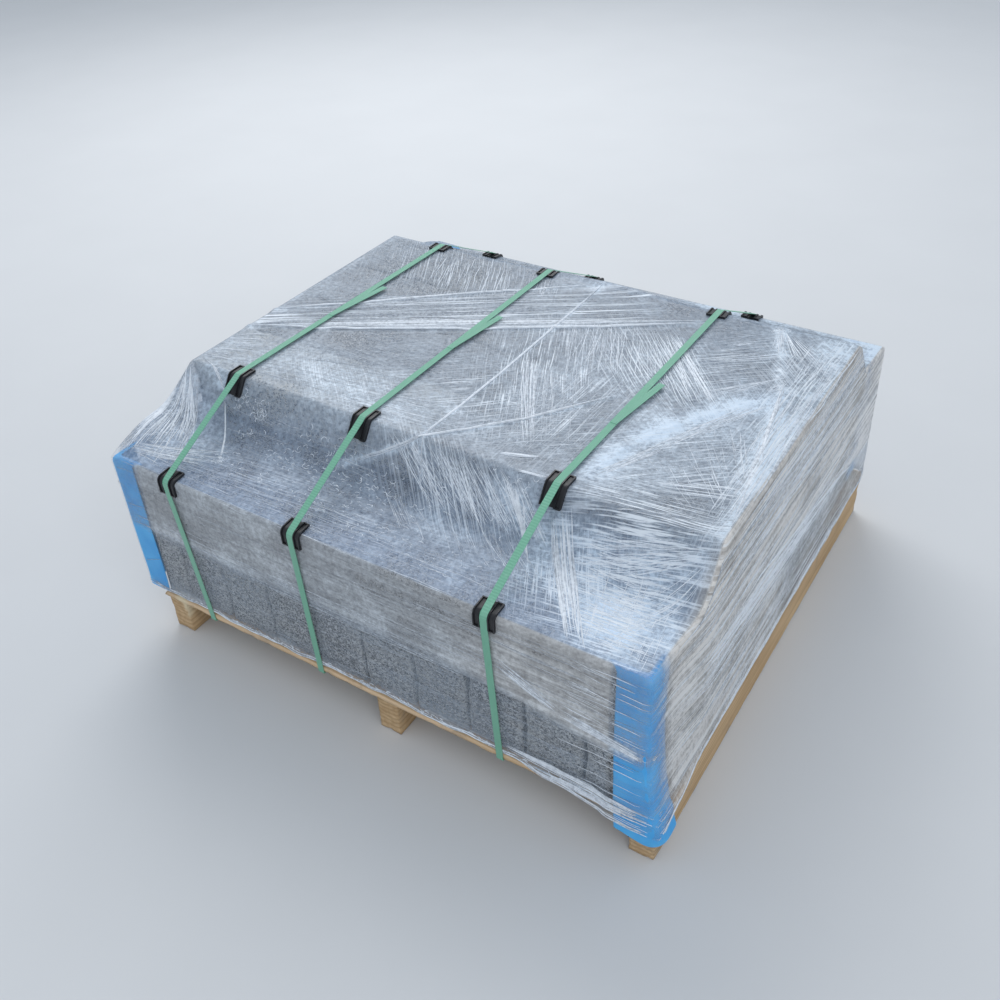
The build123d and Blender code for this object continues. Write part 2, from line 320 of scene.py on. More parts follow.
def solids_of(node_name):
    """The boxes of a CAD node's separate solids, in millimetres."""
    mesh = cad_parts[node_name].data
    parent = list(range(len(mesh.vertices)))

    def root(i):
        while parent[i] != i:
            parent[i] = parent[parent[i]]
            i = parent[i]
        return i

    places = {}
    for v in mesh.vertices:
        parent[v.index] = places.setdefault(tuple(round(c, 6) for c in v.co), v.index)
    for edge in mesh.edges:
        a, b = (root(i) for i in edge.vertices)
        parent[a] = b
    groups = {}
    for v in mesh.vertices:
        groups.setdefault(root(v.index), []).append(v.co[:])
    found = [np.array(g) / MM for g in groups.values()]
    return sorted(((g.min(0), g.max(0)) for g in found), key=lambda b: tuple(b[0]))


def box_grid(low, high, cells):
    """Points and quads of a box whose faces are divided into cells, with shared edges."""
    counts = [max(1, int(round(n))) for n in (high - low) / cells]
    index = {}
    points = []

    def corner(i, j, k):
        key = (i, j, k)
        if key not in index:
            index[key] = len(points)
            points.append(low + (high - low) * np.array(key) / counts)
        return index[key]

    faces = []
    for axis in range(3):
        u, v = [a for a in range(3) if a != axis]
        for end in (0, counts[axis]):
            for a in range(counts[u]):
                for b in range(counts[v]):
                    quad = []
                    for da, db in ((0, 0), (1, 0), (1, 1), (0, 1)):
                        key = [0, 0, 0]
                        key[axis], key[u], key[v] = end, a + da, b + db
                        quad.append(corner(*key))
                    outward = (end > 0) == (axis != 1)
                    faces.append(tuple(quad if outward else quad[::-1]))
    return np.array(points), faces


def rough(points, low, high, round_by, depth, grain, seed):
    """Points of a box moved in from its edges and faces by uneven amounts; also how near an edge each is."""
    moved, near = [], []
    shift = Vector((seed * 13.7, seed * 5.3, seed * 9.1))
    for p in points:
        from_faces = np.minimum(p - low, high - p)
        a, b = np.sort(from_faces)[:2]
        place = Vector(p * MM * grain) + shift
        wave = noise.noise(place)
        fine = noise.noise(place * 3.1)
        chip = max(0.0, 1.0 - (a + b) / (3.2 * round_by)) * (0.55 + 0.9 * max(0.0, wave + 0.5 * fine))
        middle = (low + high) / 2
        inward = np.where(from_faces < round_by * 1.6, np.sign(middle - p), 0.0)
        uneven = max(0.0, 0.5 + 0.5 * wave + 0.3 * fine)
        dent = np.where(from_faces < 0.01, np.sign(middle - p), 0.0) * depth * uneven
        moved.append(p + inward * chip * round_by + dent)
        near.append(chip)
    return np.array(moved), near


def torn_share(points):
    """The pale torn patch on the front end of the left bearer and the board above it."""
    x, up = points[:, 0] - LOAD_X, points[:, 2] - DECK_TOP
    edge = 4.0 * np.sin(up / 6.0) + 2.0 * np.sin(up / 2.3)
    across = climb(np.abs(x + 443 + up / 12 + edge * 0.5), 13.0, -4)
    return across * climb(up + edge, -62, 8) * (points[:, 1] < -496)


BATTERED_REACH = 17.0


def battered(points):
    """Points of the left front end of the pallet, with its upper corner rounded off."""
    a = BATTERED_REACH - (points[:, 0] - PALLET_LEFT)
    b = BATTERED_REACH - (DECK_TOP - points[:, 2])
    away = np.hypot(a, b)
    chosen = (a > 0) & (b > 0) & (away > BATTERED_REACH)
    fade = climb(points[:, 1], -440, -40)
    share = np.where(chosen, fade * (1 - BATTERED_REACH / np.maximum(away, 1)), 0.0)
    points[:, 0] += a * share
    points[:, 2] -= b * share
    return points


def rough_boxes(node_name, name, material, cells, round_by, depth, grain, seed, tones=None):
    """One object of rough boxes, in place of a CAD node."""
    points, faces, chips, tone_values = [], [], [], []
    for i, (low, high) in enumerate(solids_of(node_name)):
        p, f = box_grid(low, high, np.array(cells))
        moved, near = rough(p, low, high, round_by, depth, grain, seed + 17 * i)
        start = sum(len(q) for q in points)
        points.append(moved)
        faces += [tuple(start + k for k in quad) for quad in f]
        chips += near
        tone_values += [tones[i] if tones else 0.0] * len(p)
    points = battered(np.vstack(points))
    values = {"chip": chips, "tone": tone_values, "torn": torn_share(points)}
    made = mesh_object(name, points, faces, material, values=values)
    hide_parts(node_name)


STONE_CELLS = (11.0, 11.0, 11.0)
CREAM_TONE = 0.95
LAST_SEED = 900


def add_stones(material):
    """Every kerb with its worn edges and its own tone; the front left of the top tier is the creamiest."""
    draw = random.Random(5)
    for name in nodes_named("base_kerb", "middle_row", "top_kerb"):
        tones = []
        for low, _ in solids_of(name):
            tone = draw.uniform(0.0, 0.25)
            creamy = name == "top_kerb_01" and low[0] < LOAD_X - 100
            tones.append(CREAM_TONE if creamy else tone)
        rough_boxes(name, name.replace("kerb", "stone").replace("row", "stones"), material,
                    STONE_CELLS, 4.0, 0.9, 26.0, len(name) + draw.randint(0, LAST_SEED), tones)


def add_timber(bearer_wood, deck_wood):
    """Bearers and boards with sawn, slightly broken edges."""
    draw = random.Random(8)
    for start, new, slot, wood, cells, round_by in (
        ("bearer", "timber", "bearer_timber", bearer_wood, (6.0, 20.0, 7.0), 2.0),
        ("deck_board", "board", "deck_timber", deck_wood, (14.0, 12.0, 5.5), 1.6),
    ):
        for name in nodes_named(start):
            rough_boxes(name, name.replace(start, new), wood, cells, round_by, 0.5, 60.0,
                        draw.randint(0, LAST_SEED))


# How far each strap strays from its plane, at its rear foot, rear edges, front edges and front foot
STRAP_STRAY = {
    "left": (4.0, 4.0, 4.0, -9.0, -11.0, 13.0),
    "middle": (0.0, 0.0, 1.0, 1.0, -1.5, 5.0),
    "right": (3.0, 3.0, 4.0, 3.0, -2.5, 11.0),
}


def round_the_load(y, z):
    """The way round the load as an angle: 0 under the deck, growing up the rear."""
    return np.arctan2(y, (ROW_LOW[2] + DECK_TOP) / 2 - z)


def strap_stray(name, y, z):
    """How far a strap lies to the right of its plane at a place in the side view."""
    bends = np.array([(-ROW_LOW[1], DECK_TOP), (-ROW_LOW[1], ROW_HIGH[2]), (TOP_HIGH[1], TOP_HIGH[2]),
                      (TOP_LOW[1], TOP_HIGH[2]), (ROW_LOW[1], ROW_HIGH[2]), (ROW_LOW[1], DECK_TOP)])
    turns = round_the_load(bends[:, 0], bends[:, 1])
    return np.interp(round_the_load(y, z), turns, STRAP_STRAY[name], period=2 * math.pi)


# Protectors are smaller than the first measurement: shares of their width and of their legs
PROTECTOR_SHARES = (0.88, 0.80)
SHARP_ANGLE = math.radians(35)


def shrunk_protector(points):
    """A protector's points drawn in towards the middle of its width and the stone's edge under it."""
    middle = (points.min(0) + points.max(0)) / 2
    tier = middle[2] > ROW_HIGH[2] + 30
    edge_y, edge_z = (TOP_HIGH[1] + 1, TOP_HIGH[2] + 1) if tier else (FILM_HIGH[1], ROW_HIGH[2] + 1)
    centre = np.array([middle[0], math.copysign(edge_y, middle[1]), edge_z])
    wide, leg = PROTECTOR_SHARES
    return centre + (points - centre) * np.array([wide, leg, leg])


def add_straps(strap, protector):
    """Each strap a little off its plane, with its protectors square under it."""
    for name in nodes_named("strap", "protector"):
        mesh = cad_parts[name].data
        places = {}
        index = [places.setdefault(tuple(round(c / MM, 3) for c in v.co), len(places)) for v in mesh.vertices]
        points = np.array(list(places))
        y, z = points[:, 1], points[:, 2]
        band_piece = name.startswith("strap")
        if not band_piece:
            points = shrunk_protector(points)
            y, z = (y.min() + y.max()) / 2, (z.min() + z.max()) / 2
        points[:, 0] += strap_stray(name.split("_")[1], y, z)
        faces = [tuple(index[i] for i in face.vertices) for face in mesh.polygons]
        piece = mesh_object(name.replace("strap", "band").replace("protector", "edge_guard"), points, faces,
                            strap if band_piece else protector)
        piece.data.set_sharp_from_angle(angle=SHARP_ANGLE)
        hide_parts(name)


# Corner guards
GUARD_LEAF = 55.0
GUARD_THICKNESS = 5.0
GUARD_FOAM = GUARD_THICKNESS - 0.6
GUARD_RADIUS = 9.0
# Heights of a guard's rings: over the stones, each with how far out it lies, and above the deck
GUARD_DOME = ((0.3, -11.0), (-0.3, -5.6), (-1.6, -2.8), (-4.2, -0.9), (-7.5, 0))
GUARD_UPPER = (208, 148, 88, 48)
FLARED_LOWER = (26, 14, 7, 1, -12, -26)
FOOT_BULGE = 8.0             # how far the front right guard's foot stands out past the deck's end
ARC_STEPS = 6
LEAF_STEPS = 6


def flare_share(z):
    """How far the front right guard has spread at height z, from upright to over the deck's corner."""
    return np.interp(z - DECK_TOP, (1, 14, 48, 88, 148, 208), (1.0, 0.70, 0.48, 0.26, 0.08, 0.0))


def guard_ring(corner, signs, leaf_x, z, radius):
    """Outer and inner points of a guard's L section at a height, from the front leaf's end to the side's."""
    angles = [math.pi / 2 * k / ARC_STEPS for k in range(ARC_STEPS + 1)]
    line = [(-d, 0.0, 0.0, 1.0) for d in np.linspace(leaf_x, radius, LEAF_STEPS)[:-1]]
    line += [(-radius + radius * math.sin(a), -radius + radius * math.cos(a), math.sin(a), math.cos(a))
             for a in angles]
    line += [(0.0, -d, 1.0, 0.0) for d in np.linspace(radius, GUARD_LEAF, LEAF_STEPS)[1:]]
    outer, inner = [], []
    last = len(line) - 1
    for i, (x, y, normal_x, normal_y) in enumerate(line):
        push = 0.5 * math.sin(z / 37.0 + 4 * (i / last)) - 0.3
        thin = GUARD_FOAM * (0.55 if i in (0, last) else 1.0)
        for ring, out in ((outer, push), (inner, push - thin)):
            ring.append((corner[0] + signs[0] * (x + normal_x * out),
                         corner[1] + signs[1] * (y + normal_y * out), z))
    return outer, inner


def guard_heights(foot, front_right):
    """Heights of a guard's rings, each with how far out it lies: below 0 on the dome, 1 fully spread."""
    heights = [(ROW_HIGH[2] + up, out) for up, out in GUARD_DOME] + [(DECK_TOP + 278, 0)]
    if front_right:
        heights += [(DECK_TOP + up, flare_share(DECK_TOP + up)) for up in GUARD_UPPER + FLARED_LOWER]
        heights.append((foot + 10, 1))
    else:
        heights += [(DECK_TOP + up, 0) for up in GUARD_UPPER]
        heights += [(DECK_TOP + 26, 0.2), (foot + 2, 1)]
    return heights + [(foot, 1)]


def add_guard(node_name, material):
    """A soft angle strip: domed at its top, wavy along its edges, flared at its foot."""
    low, high = box_mm(node_name)
    sx = 1 if (low[0] + high[0]) / 2 > LOAD_X else -1
    sy = 1 if low[1] < 0 else -1
    front_right = node_name.endswith("front_right")
    outer_x = (ROW_HIGH[0] if sx > 0 else ROW_LOW[0]) + sx * GUARD_THICKNESS
    outer_y = ROW_LOW[1] - GUARD_THICKNESS
    flare_x = high[0] - 0.3 if front_right else outer_x + sx * 1.5
    flare_y = low[1] + 0.3 if front_right else outer_y - 1.0
    outers, inners = [], []
    for z, out in guard_heights(low[2], front_right):
        share, shrink = max(0.0, out), min(0.0, out)
        x = outer_x + sx * shrink + (flare_x - outer_x) * share
        y = outer_y - shrink + (flare_y - outer_y) * share
        radius = GUARD_RADIUS
        if front_right:
            x += np.interp(DECK_TOP - z, (20, 34, 44, 53), (0, FOOT_BULGE, FOOT_BULGE, 4))
            radius += np.interp(DECK_TOP - z, (13, 26, 43, 53), (0, 10, 19, 21))
        leaf_x = GUARD_LEAF + 0.73 * abs(x - outer_x)
        outer, inner = guard_ring((x, sy * y), (sx, -sy), leaf_x, z, radius)
        outers.append(outer)
        inners.append(inner)
    if front_right:
        foot_line(outers[-1], inners[-1], low[2])
    rows, columns = len(outers), len(outers[0])
    half = rows * columns
    faces = grid_faces(rows, columns) + grid_faces(rows, columns, half, turned=True)
    for r in range(rows - 1):
        for c in (0, columns - 1):
            a, b = r * columns + c, (r + 1) * columns + c
            quad = (a, b, b + half, a + half)
            faces.append(quad if c == 0 else quad[::-1])
    for c in range(columns - 1):
        for r in (0, rows - 1):
            a, b = r * columns + c, r * columns + c + 1
            quad = (a, a + half, b + half, b)
            faces.append(quad if r == 0 else quad[::-1])
    points = [point for ring in outers + inners for point in ring]
    piece = mesh_object(node_name.replace("corner_guard", "guard"), points, faces, material)
    subdivide = piece.modifiers.new("soft", "SUBSURF")
    subdivide.levels = subdivide.render_levels = 2
    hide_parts(node_name)


def foot_line(outer, inner, foot):
    """The torn, scalloped lower edge of the pulled-down guard."""
    last = len(outer) - 1
    for i in range(len(outer)):
        along = i / last
        lift = (2.0 + 1.5 * math.cos(along * 19.0) + 18.0 * max(0.0, 1 - along * 3.2)
                + 9.0 * max(0.0, along * 5 - 4))
        for ring in (outer, inner):
            x, y, _ = ring[i]
            ring[i] = (x, y, foot + max(0.0, lift))


# Stretch film
FILM_TOP = 0.8               # above the stones
HALF_FILM = 0.5              # from the CAD film's outside to the middle of its thickness
EDGE_RADIUS = 8.5
ROOF_DEPTH = FILM_HIGH[1] - HALF_FILM - EDGE_RADIUS  # from the load's middle to the start of the rounded rim
TENT_SOFTNESS = 13.0
SAG_PLACE = 62.0
SAG_RISE = 12.0
ROOF_COLUMNS = 200
ROOF_ROWS = 190
WALL_STEPS = 34
ROUND_STEPS = 4
HEM_ABOVE_DECK = 4.0
HEM_DROP = 12.0              # lower on the right, over the deck's ends
EDGE_STANDOFF = 2.8          # how far the film swings out over the deck's front edge
GUARD_HEM_DROP = 24.0        # how far the hem hangs below the deck's top on the front right guard
LEFT_TENT = 24.0             # how far the film stands above its plain sag at the left end
SIDE_START = 512.0           # film further right of the load's middle than this is on the right face


def roof_height(y):
    """The film's height over the load: flat on the top tier, sagging to the front and back edges."""
    depth = FILM_HIGH[1] - 1.0
    away = np.abs(y)
    edge = TOP_HIGH[1]
    low = ROW_HIGH[2] + FILM_TOP + SAG_RISE * (depth - away) / (depth - edge - SAG_PLACE)
    top = TOP_HIGH[2] + FILM_TOP
    steep = (top - ROW_HIGH[2] - SAG_RISE) / SAG_PLACE
    high = top - steep * (away - edge)
    tent = low + TENT_SOFTNESS * np.logaddexp(0, (high - low) / TENT_SOFTNESS)
    return np.minimum(top, tent)


def side_x(z, side):
    """The film's left or right face: it runs from the top tier's ends down to the guards or past the deck."""
    if side < 0:
        rise = climb(z, ROW_HIGH[2], TOP_HIGH[2] - ROW_HIGH[2])
        return (FILM_LOW[0] + HALF_FILM) * (1 - rise) + (TOP_LOW[0] - 1.2) * rise
    fall = climb(z, TOP_HIGH[2], DECK_TOP - TOP_HIGH[2])
    return (FILM_HIGH[0] - HALF_FILM) * fall + (TOP_HIGH[0] + 0.8) * (1 - fall)


def corner_pull(y, z):
    """How much nearer the load the film lies where it is stretched round the front right guard."""
    guard = ROW_HIGH[0] + GUARD_THICKNESS
    spread = guard + 1.6 + (FLARE_HIGH[0] - 0.3 - guard) * flare_share(z)
    share = climb(y, -330, -130)
    return (side_x(z, 1) - spread) * share * share * (3 - 2 * share)


def roof_ends(y, z):
    """The film's left and right end over the load."""
    return side_x(z, -1), side_x(z, 1) - corner_pull(y, z)


def blob(x, y, centre, radii, turn=0.0):
    """A soft spot: 1 at its centre, falling off smoothly."""
    c, s = math.cos(math.radians(turn)), math.sin(math.radians(turn))
    dx, dy = x - centre[0], y - centre[1]
    a, b = (dx * c + dy * s) / radii[0], (-dx * s + dy * c) / radii[1]
    return np.exp(-(a * a + b * b))


def spots(x, y, rows):
    """Soft spots added up: rows of strength, centre, radii and, where one is turned, degrees."""
    return sum(strength * blob(x, y, *shape) for strength, *shape in rows)


def band(x, y, start, end, width, end_width=None):
    """A soft band along a line, 1 on its middle."""
    end_width = end_width or width
    d = np.array(end, float) - np.array(start, float)
    long = np.linalg.norm(d)
    d /= long
    t = (x - start[0]) * d[0] + (y - start[1]) * d[1]
    s = -(x - start[0]) * d[1] + (y - start[1]) * d[0]
    w = width + (end_width - width) * np.clip(t / long, 0, 1)
    ends = np.clip(np.minimum(t, long - t) / 40.0 + 0.5, 0, 1)
    return np.exp(-(s / w) ** 2) * ends


def path_band(x, y, path, width):
    """A soft band along several lines."""
    return np.max([band(x, y, a, b, width) for a, b in zip(path, path[1:])], axis=0)


# Large folds over the load, in millimetres from its middle
WIDE_FOLD = [(292, -270), (313, -160), (361, -65), (408, -3), (468, 78)]
ROPE_FOLD = [(-125, -358), (-51, -334), (10, -311), (70, -250), (136, -180), (231, -49)]
JOINT_FOLD = [(23, 300), (23, -77), (20, -190), (15, -300), (41, -352)]
LOWER_STRAND = [(-512, -168), (-300, -72), (-100, 35), (100, 150), (276, 262)]
UPPER_STRAND = [(-512, -100), (-330, 40), (-150, 180), (20, 300)]
RIGHT_FOLD = [(389, 300), (430, 190), (458, 117), (490, -20), (518, -149), (528, -300)]
# For each its half width, its height, the half width of its haze, and how milky that is
FOLDS = [
    (WIDE_FOLD, 10.0, 2.6, 26.0, 0.34),
    (ROPE_FOLD, 3.6, 3.2, 6.0, 0.30),
    (JOINT_FOLD, 3.4, 1.6, 6.0, 0.20),
    (LOWER_STRAND, 5.0, 2.8, 13.0, 0.12),
    (UPPER_STRAND, 5.0, 2.4, 11.0, 0.16),
    (RIGHT_FOLD, 7.0, 2.4, 14.0, 0.26),
]
BACK_HUMP = ((29, 352), (125, 36), 34.0)


def fold_height(x, y):
    """How far folds and humps stand above the plain film, none of it under the straps."""
    fold = sum(height * path_band(x, y, path, width) for path, width, height, _, _ in FOLDS)
    clear = np.ones_like(x)
    for place in STRAP_X.values():
        clear = clear * (1 - np.exp(-((x - place) / 26.0) ** 4))
    centre, radii, height = BACK_HUMP
    return fold * clear + height * blob(x, y, centre, radii)


def end_tent(x, y):
    """How much straighter the film runs down at the left end than elsewhere."""
    run = (np.abs(y) - TOP_HIGH[1]) / (FILM_HIGH[1] - TOP_HIGH[1])
    return LEFT_TENT * np.sin(np.pi * np.clip(run, 0, 1)) * bell(x, -535, 75)


def film_roof():
    """The roof's grid of points, from the left front corner, and its rim going round."""
    u = np.linspace(-1, 1, ROOF_COLUMNS)
    v = np.linspace(-1, 1, ROOF_ROWS)
    roof = np.zeros((ROOF_ROWS, ROOF_COLUMNS, 3))
    for r, y in enumerate(v * ROOF_DEPTH):
        z = roof_height(y)
        left, right = roof_ends(y, z)
        roof[r, :, 0] = left + EDGE_RADIUS + (right - left - 2 * EDGE_RADIUS) * (u + 1) / 2
        roof[r, :, 1] = y
        roof[r, :, 2] = z + end_tent(roof[r, :, 0] - LOAD_X, y)
    rim = [(0, c) for c in range(ROOF_COLUMNS)]
    rim += [(r, ROOF_COLUMNS - 1) for r in range(1, ROOF_ROWS)]
    rim += [(ROOF_ROWS - 1, c) for c in range(ROOF_COLUMNS - 2, -1, -1)]
    rim += [(r, 0) for r in range(ROOF_ROWS - 2, 0, -1)]
    return roof, rim


class FilmWall:
    """The film's upright faces, unrolled: a place is its way round from the left front corner and its height."""

    def __init__(self, roof, rim):
        self.rim = np.array([roof[r, c] for r, c in rim])
        outward = [((c == ROOF_COLUMNS - 1) - (c == 0), (r == ROOF_ROWS - 1) - (r == 0)) for r, c in rim]
        self.outward = unit(np.array(outward, float))
        self.along = steps_of(self.rim)
        self.length = self.along[-1] + np.linalg.norm(self.rim[-1] - self.rim[0])
        self.top = self.rim[:, 2] - EDGE_RADIUS
        x, y = self.rim[:, 0] - LOAD_X, self.rim[:, 1]
        way = self.along
        wave = 2.0 * np.sin(way / 61.0) + 1.6 * np.sin(way / 23.0 + 1.0) + np.sin(way / 8.7)
        hang = (x > 500) * climb(y, -452, 16) * climb(y, 492, -12)
        hang = np.maximum(hang, 1.05 * self.over_deck(x) * (y < -480))
        self.bottom = DECK_TOP + HEM_ABOVE_DECK + wave - hang * (HEM_DROP + 0.6 * wave)
        near_guard = climb(x, 400, 70) * climb(y, -440, -50)
        self.bottom += near_guard * (DECK_TOP - GUARD_HEM_DROP + 0.4 * wave - self.bottom)

    def over_deck(self, x):
        """Where the front's lower edge hangs over the deck's edge, left of the front right guard."""
        return climb(x, 300, 60) * climb(x, 474, -14)

    def ripple(self, along, z):
        """Shallow ripples that run round the load."""
        first = np.sin(z / 9.0 + along / 170.0) * np.sin(along / 320.0 + z / 40.0)
        return 0.35 * first + 0.25 * np.sin(z / 4.1 - along / 260.0)

    def points(self, index, along, z):
        """Wall points for rim places given by index, at heights z."""
        place = self.rim[index].copy()
        out = self.outward[index]
        place[:, :2] += out * (EDGE_RADIUS + self.ripple(along, z)[:, None])
        for side in (-1, 1):
            chosen = out[:, 0] * side > 0.5
            place[chosen, 0] += side_x(z[chosen], side) - side_x(place[chosen, 2], side)
            if side > 0:
                y, rim_z = place[chosen, 1], place[chosen, 2]
                place[chosen, 0] += corner_pull(y, rim_z) - corner_pull(y, z[chosen])
        front = out[:, 1] < -0.5
        x = place[:, 0] - LOAD_X
        near = climb(x, 440, 25) * flare_share(z) * (FILM_LOW[1] - FLARE_LOW[1] + 1.2)
        over = self.over_deck(x) * climb(z, DECK_TOP + 9, -8) * EDGE_STANDOFF
        place[:, 1] -= front * np.maximum(near, over)
        place[:, 2] = z
        return place

    def at(self, along, z):
        """Wall points and their outward directions at any way round."""
        along = np.mod(along, self.length)
        index = np.searchsorted(self.along, along, side="right") - 1
        after = (index + 1) % len(self.rim)
        span = np.where(after > 0, self.along[after] - self.along[index], self.length - self.along[-1])
        share = ((along - self.along[index]) / span)[:, None]
        first, second = self.points(index, along, z), self.points(after, along, z)
        out = self.outward[index] * (1 - share) + self.outward[after] * share
        return first * (1 - share) + second * share, np.column_stack([out, np.zeros(len(out))])


def film_mesh(roof, rim, wall):
    """Points and faces of the whole sheet, and each point's unrolled place."""
    count = ROOF_ROWS * ROOF_COLUMNS
    flat = roof.reshape(-1, 3).copy()
    flat[:, 2] += fold_height(flat[:, 0] - LOAD_X, flat[:, 1])
    points = [flat]
    wrap = [np.zeros((count, 3))]
    rings = [np.array([r * ROOF_COLUMNS + c for r, c in rim])]
    length = len(rim)
    lift = flat[rings[0], 2] - wall.rim[:, 2]

    def add_ring(ring):
        start = sum(len(p) for p in points)
        rings.append(np.arange(start, start + length))
        points.append(ring)
        wrap.append(np.column_stack([wall.along, ring[:, 2], np.ones(length)]))

    for k in range(1, ROUND_STEPS + 1):
        angle = math.pi / 2 * k / ROUND_STEPS
        ring = wall.rim.copy()
        ring[:, :2] += wall.outward * EDGE_RADIUS * math.sin(angle)
        ring[:, 2] += lift * math.cos(angle) - EDGE_RADIUS * (1 - math.cos(angle))
        add_ring(ring)
    every = np.arange(length)
    for k in range(1, WALL_STEPS + 1):
        add_ring(wall.points(every, wall.along, wall.top + (wall.bottom - wall.top) * k / WALL_STEPS))
    faces = grid_faces(ROOF_ROWS, ROOF_COLUMNS)
    for upper, lower in zip(rings, rings[1:]):
        for i in range(length):
            j = (i + 1) % length
            faces.append((upper[i], lower[i], lower[j], upper[j]))
    return np.vstack(points), faces, np.vstack(wrap)


# Where the film over the load is milkier, or clearer where below 0, and where it is painted bluer as a sky
# sheen: rows for spots
ROOF_HAZE = [
    (0.12, (330, -60), (240, 330)), (0.30, (425, -425), (125, 70), -8), (0.30, (522, 20), (40, 330)),
    (0.26, (500, 262), (46, 50)), (0.02, (-110, -470), (430, 36)), (0.10, (-470, -400), (60, 90)),
    (0.26, (60, 372), (210, 60)), (0.14, (440, 400), (120, 100)), (0.17, (-240, -230), (240, 70)),
    (0.20, (205, -330), (40, 30)), (0.16, (-60, -260), (130, 46), 12), (0.10, (-470, 0), (90, 320)),
    (0.20, (-432, -312), (50, 13), -14), (-0.15, (-230, -462), (330, 38)), (-0.20, (326, -462), (44, 42)),
    (-0.14, (-40, -350), (260, 30)), (-0.10, (-300, 200), (150, 80)), (-0.14, (430, -262), (46, 30)),
    (-0.14, (370, -318), (60, 18)),
]
# Painted blue sky sheen on the film over the load
ROOF_SKY_SHEEN = [(0.40, (-150, -480), (460, 50)), (0.25, (400, -440), (160, 90)), (0.25, (80, 380), (260, 80))]


def roof_fields(x, y):
    """How milky the film is over the load, and how much painted blue sky sheen it carries."""
    haze = 0.40 + spots(x, y, ROOF_HAZE) + 0.02 * band(x, y, (-515, -130), (150, 276), 34, 80)
    haze += sum(milk * path_band(x, y, path, width) for path, _, _, width, milk in FOLDS)
    haze += 0.09 * climb(y, -302, -50)
    haze += 0.30 * climb(x, 60, 80) * climb(y, 478, 12) + 0.42 * climb(x, 452, 30) * climb(y, 400, 40)
    haze -= 0.40 * climb(x, -500, -14) * climb(y, -436, -20)
    haze -= 0.50 * climb(x, SIDE_START, 8) * climb(y, -452, -16)
    # Painted sky sheen: bluer on the front slope and edge, at the back and along the wide fold
    blue = 0.36 + 0.30 * climb(y, -305, -40) + spots(x, y, ROOF_SKY_SHEEN)
    return haze, blue + 0.25 * path_band(x, y, WIDE_FOLD, 30.0)


# Where the front and the right face end, as a way round from the left front corner
FRONT_END = 1050.0
RIGHT_END = 2060.0

# Fine streaks in the film: turn in degrees from X, length and width of one streak in mm, share covered,
# and where they lie over the load, as rows for spots
STREAKS = {
    "steep": (-64.0, 110.0, 1.5, 0.52, [
        (0.85, (-270, 210), (170, 110)), (0.8, (60, 20), (140, 120)), (0.8, (330, -410), (60, 90), -60),
        (0.6, (-330, 400), (160, 90)), (0.7, (100, -150), (90, 120)),
    ]),
    "falling": (-45.0, 120.0, 1.4, 0.54, [
        (0.9, (240, 70), (170, 100), -40), (0.75, (90, -340), (150, 50), -10), (0.6, (450, 180), (60, 110)),
        (0.4, (-200, -230), (160, 70)),
    ]),
    "rising": (38.0, 110.0, 1.6, 0.52, [
        (0.85, (360, 150), (90, 110)), (0.75, (410, -150), (110, 130)), (0.6, (150, -190), (150, 100)),
        (0.7, (-490, -400), (50, 90), 60), (0.5, (-60, -120), (160, 120)),
    ]),
    "level": (6.0, 90.0, 1.6, 0.55, [
        (0.9, (420, -290), (140, 60)), (1.0, (420, -420), (140, 90)), (0.5, (330, 360), (160, 60)),
        (0.4, (-150, -440), (300, 50)), (0.5, (-60, -260), (140, 50)),
    ]),
    "upright": (88.0, 110.0, 1.5, 0.52, [
        (0.9, (510, 0), (36, 330)), (0.75, (190, -120), (100, 160)), (0.5, (470, 60), (60, 200)),
        (0.5, (-505, 60), (24, 300)),
    ]),
    "band": (31.0, 420.0, 3.4, 0.55, []),            # lies along the white band, see streak_fields
}


def streak_fields(x, y):
    """Where each family of streaks lies on the roof."""
    fields = {name: spots(x, y, rows) for name, (*_, rows) in STREAKS.items()}
    fields["band"] = band(x, y, (-515, -130), (160, 276), 36, 90)
    return fields


# The rope on the right face: way round from the left front corner, height above the deck
WALL_ROPE = [(1380, 222), (1448, 210), (1569, 184), (1739, 152), (1935, 115), (2010, 98)]


def below_rope(x, y, up):
    """1 on the rear part of the right face, below its rope, where the film lies smooth."""
    way = np.array([p[0] for p in WALL_ROPE]) - FRONT_END - FILM_HIGH[1]
    rope = np.interp(y, way, [p[1] for p in WALL_ROPE])
    return climb(x, SIDE_START, 12) * climb(up, rope, -12) * climb(y, -90, 120)


def wall_fields(x, y, up):
    """How milky and how brown the film is on the upright faces, clearer over the lower kerbs."""
    right = climb(x, SIDE_START, 12)
    lap = 147 - 32 * climb(x, 270, 200)
    upper = climb(up, lap, 20)
    haze = 0.30 + 0.24 * upper + 0.12 * bell(up, lap + 17, 14) + 0.14 * bell(up, 18, 12)
    haze += 0.10 * climb(x, 240, 200) * upper
    haze = haze * (1 - right) + (0.80 + 0.08 * climb(up, 158, 150)) * right
    haze -= 0.20 * right * climb(up, 268, 30) * climb(y, -340, 60)
    guard = climb(np.abs(x), 462, 6) * (y < -480) * (1 - right)
    round_corner = right * climb(y, -440, -60)
    haze -= 0.28 * guard + 0.60 * round_corner
    held = 0.30 * climb(x, 524, -24) * bell(up, 140, 14) + 0.12 * climb(up, 100, -60)
    haze += guard * (x > 0) * held + 0.25 * round_corner * bell(up, 140 - 0.6 * (y + 508), 13)
    near_left = climb(x, -515, -8)
    haze += 0.12 * near_left * (1 - guard) - 0.32 * near_left * climb(y, -440, -20)
    warm = upper * (0.35 + 0.3 * climb(x, 150, 150)) * (1 - guard)
    warm = warm * (1 - right) + (0.80 + 0.20 * climb(up, 208, 100)) * right * (1 - round_corner)
    smooth = below_rope(x, y, up)
    return haze - 0.24 * smooth, warm - 0.45 * smooth


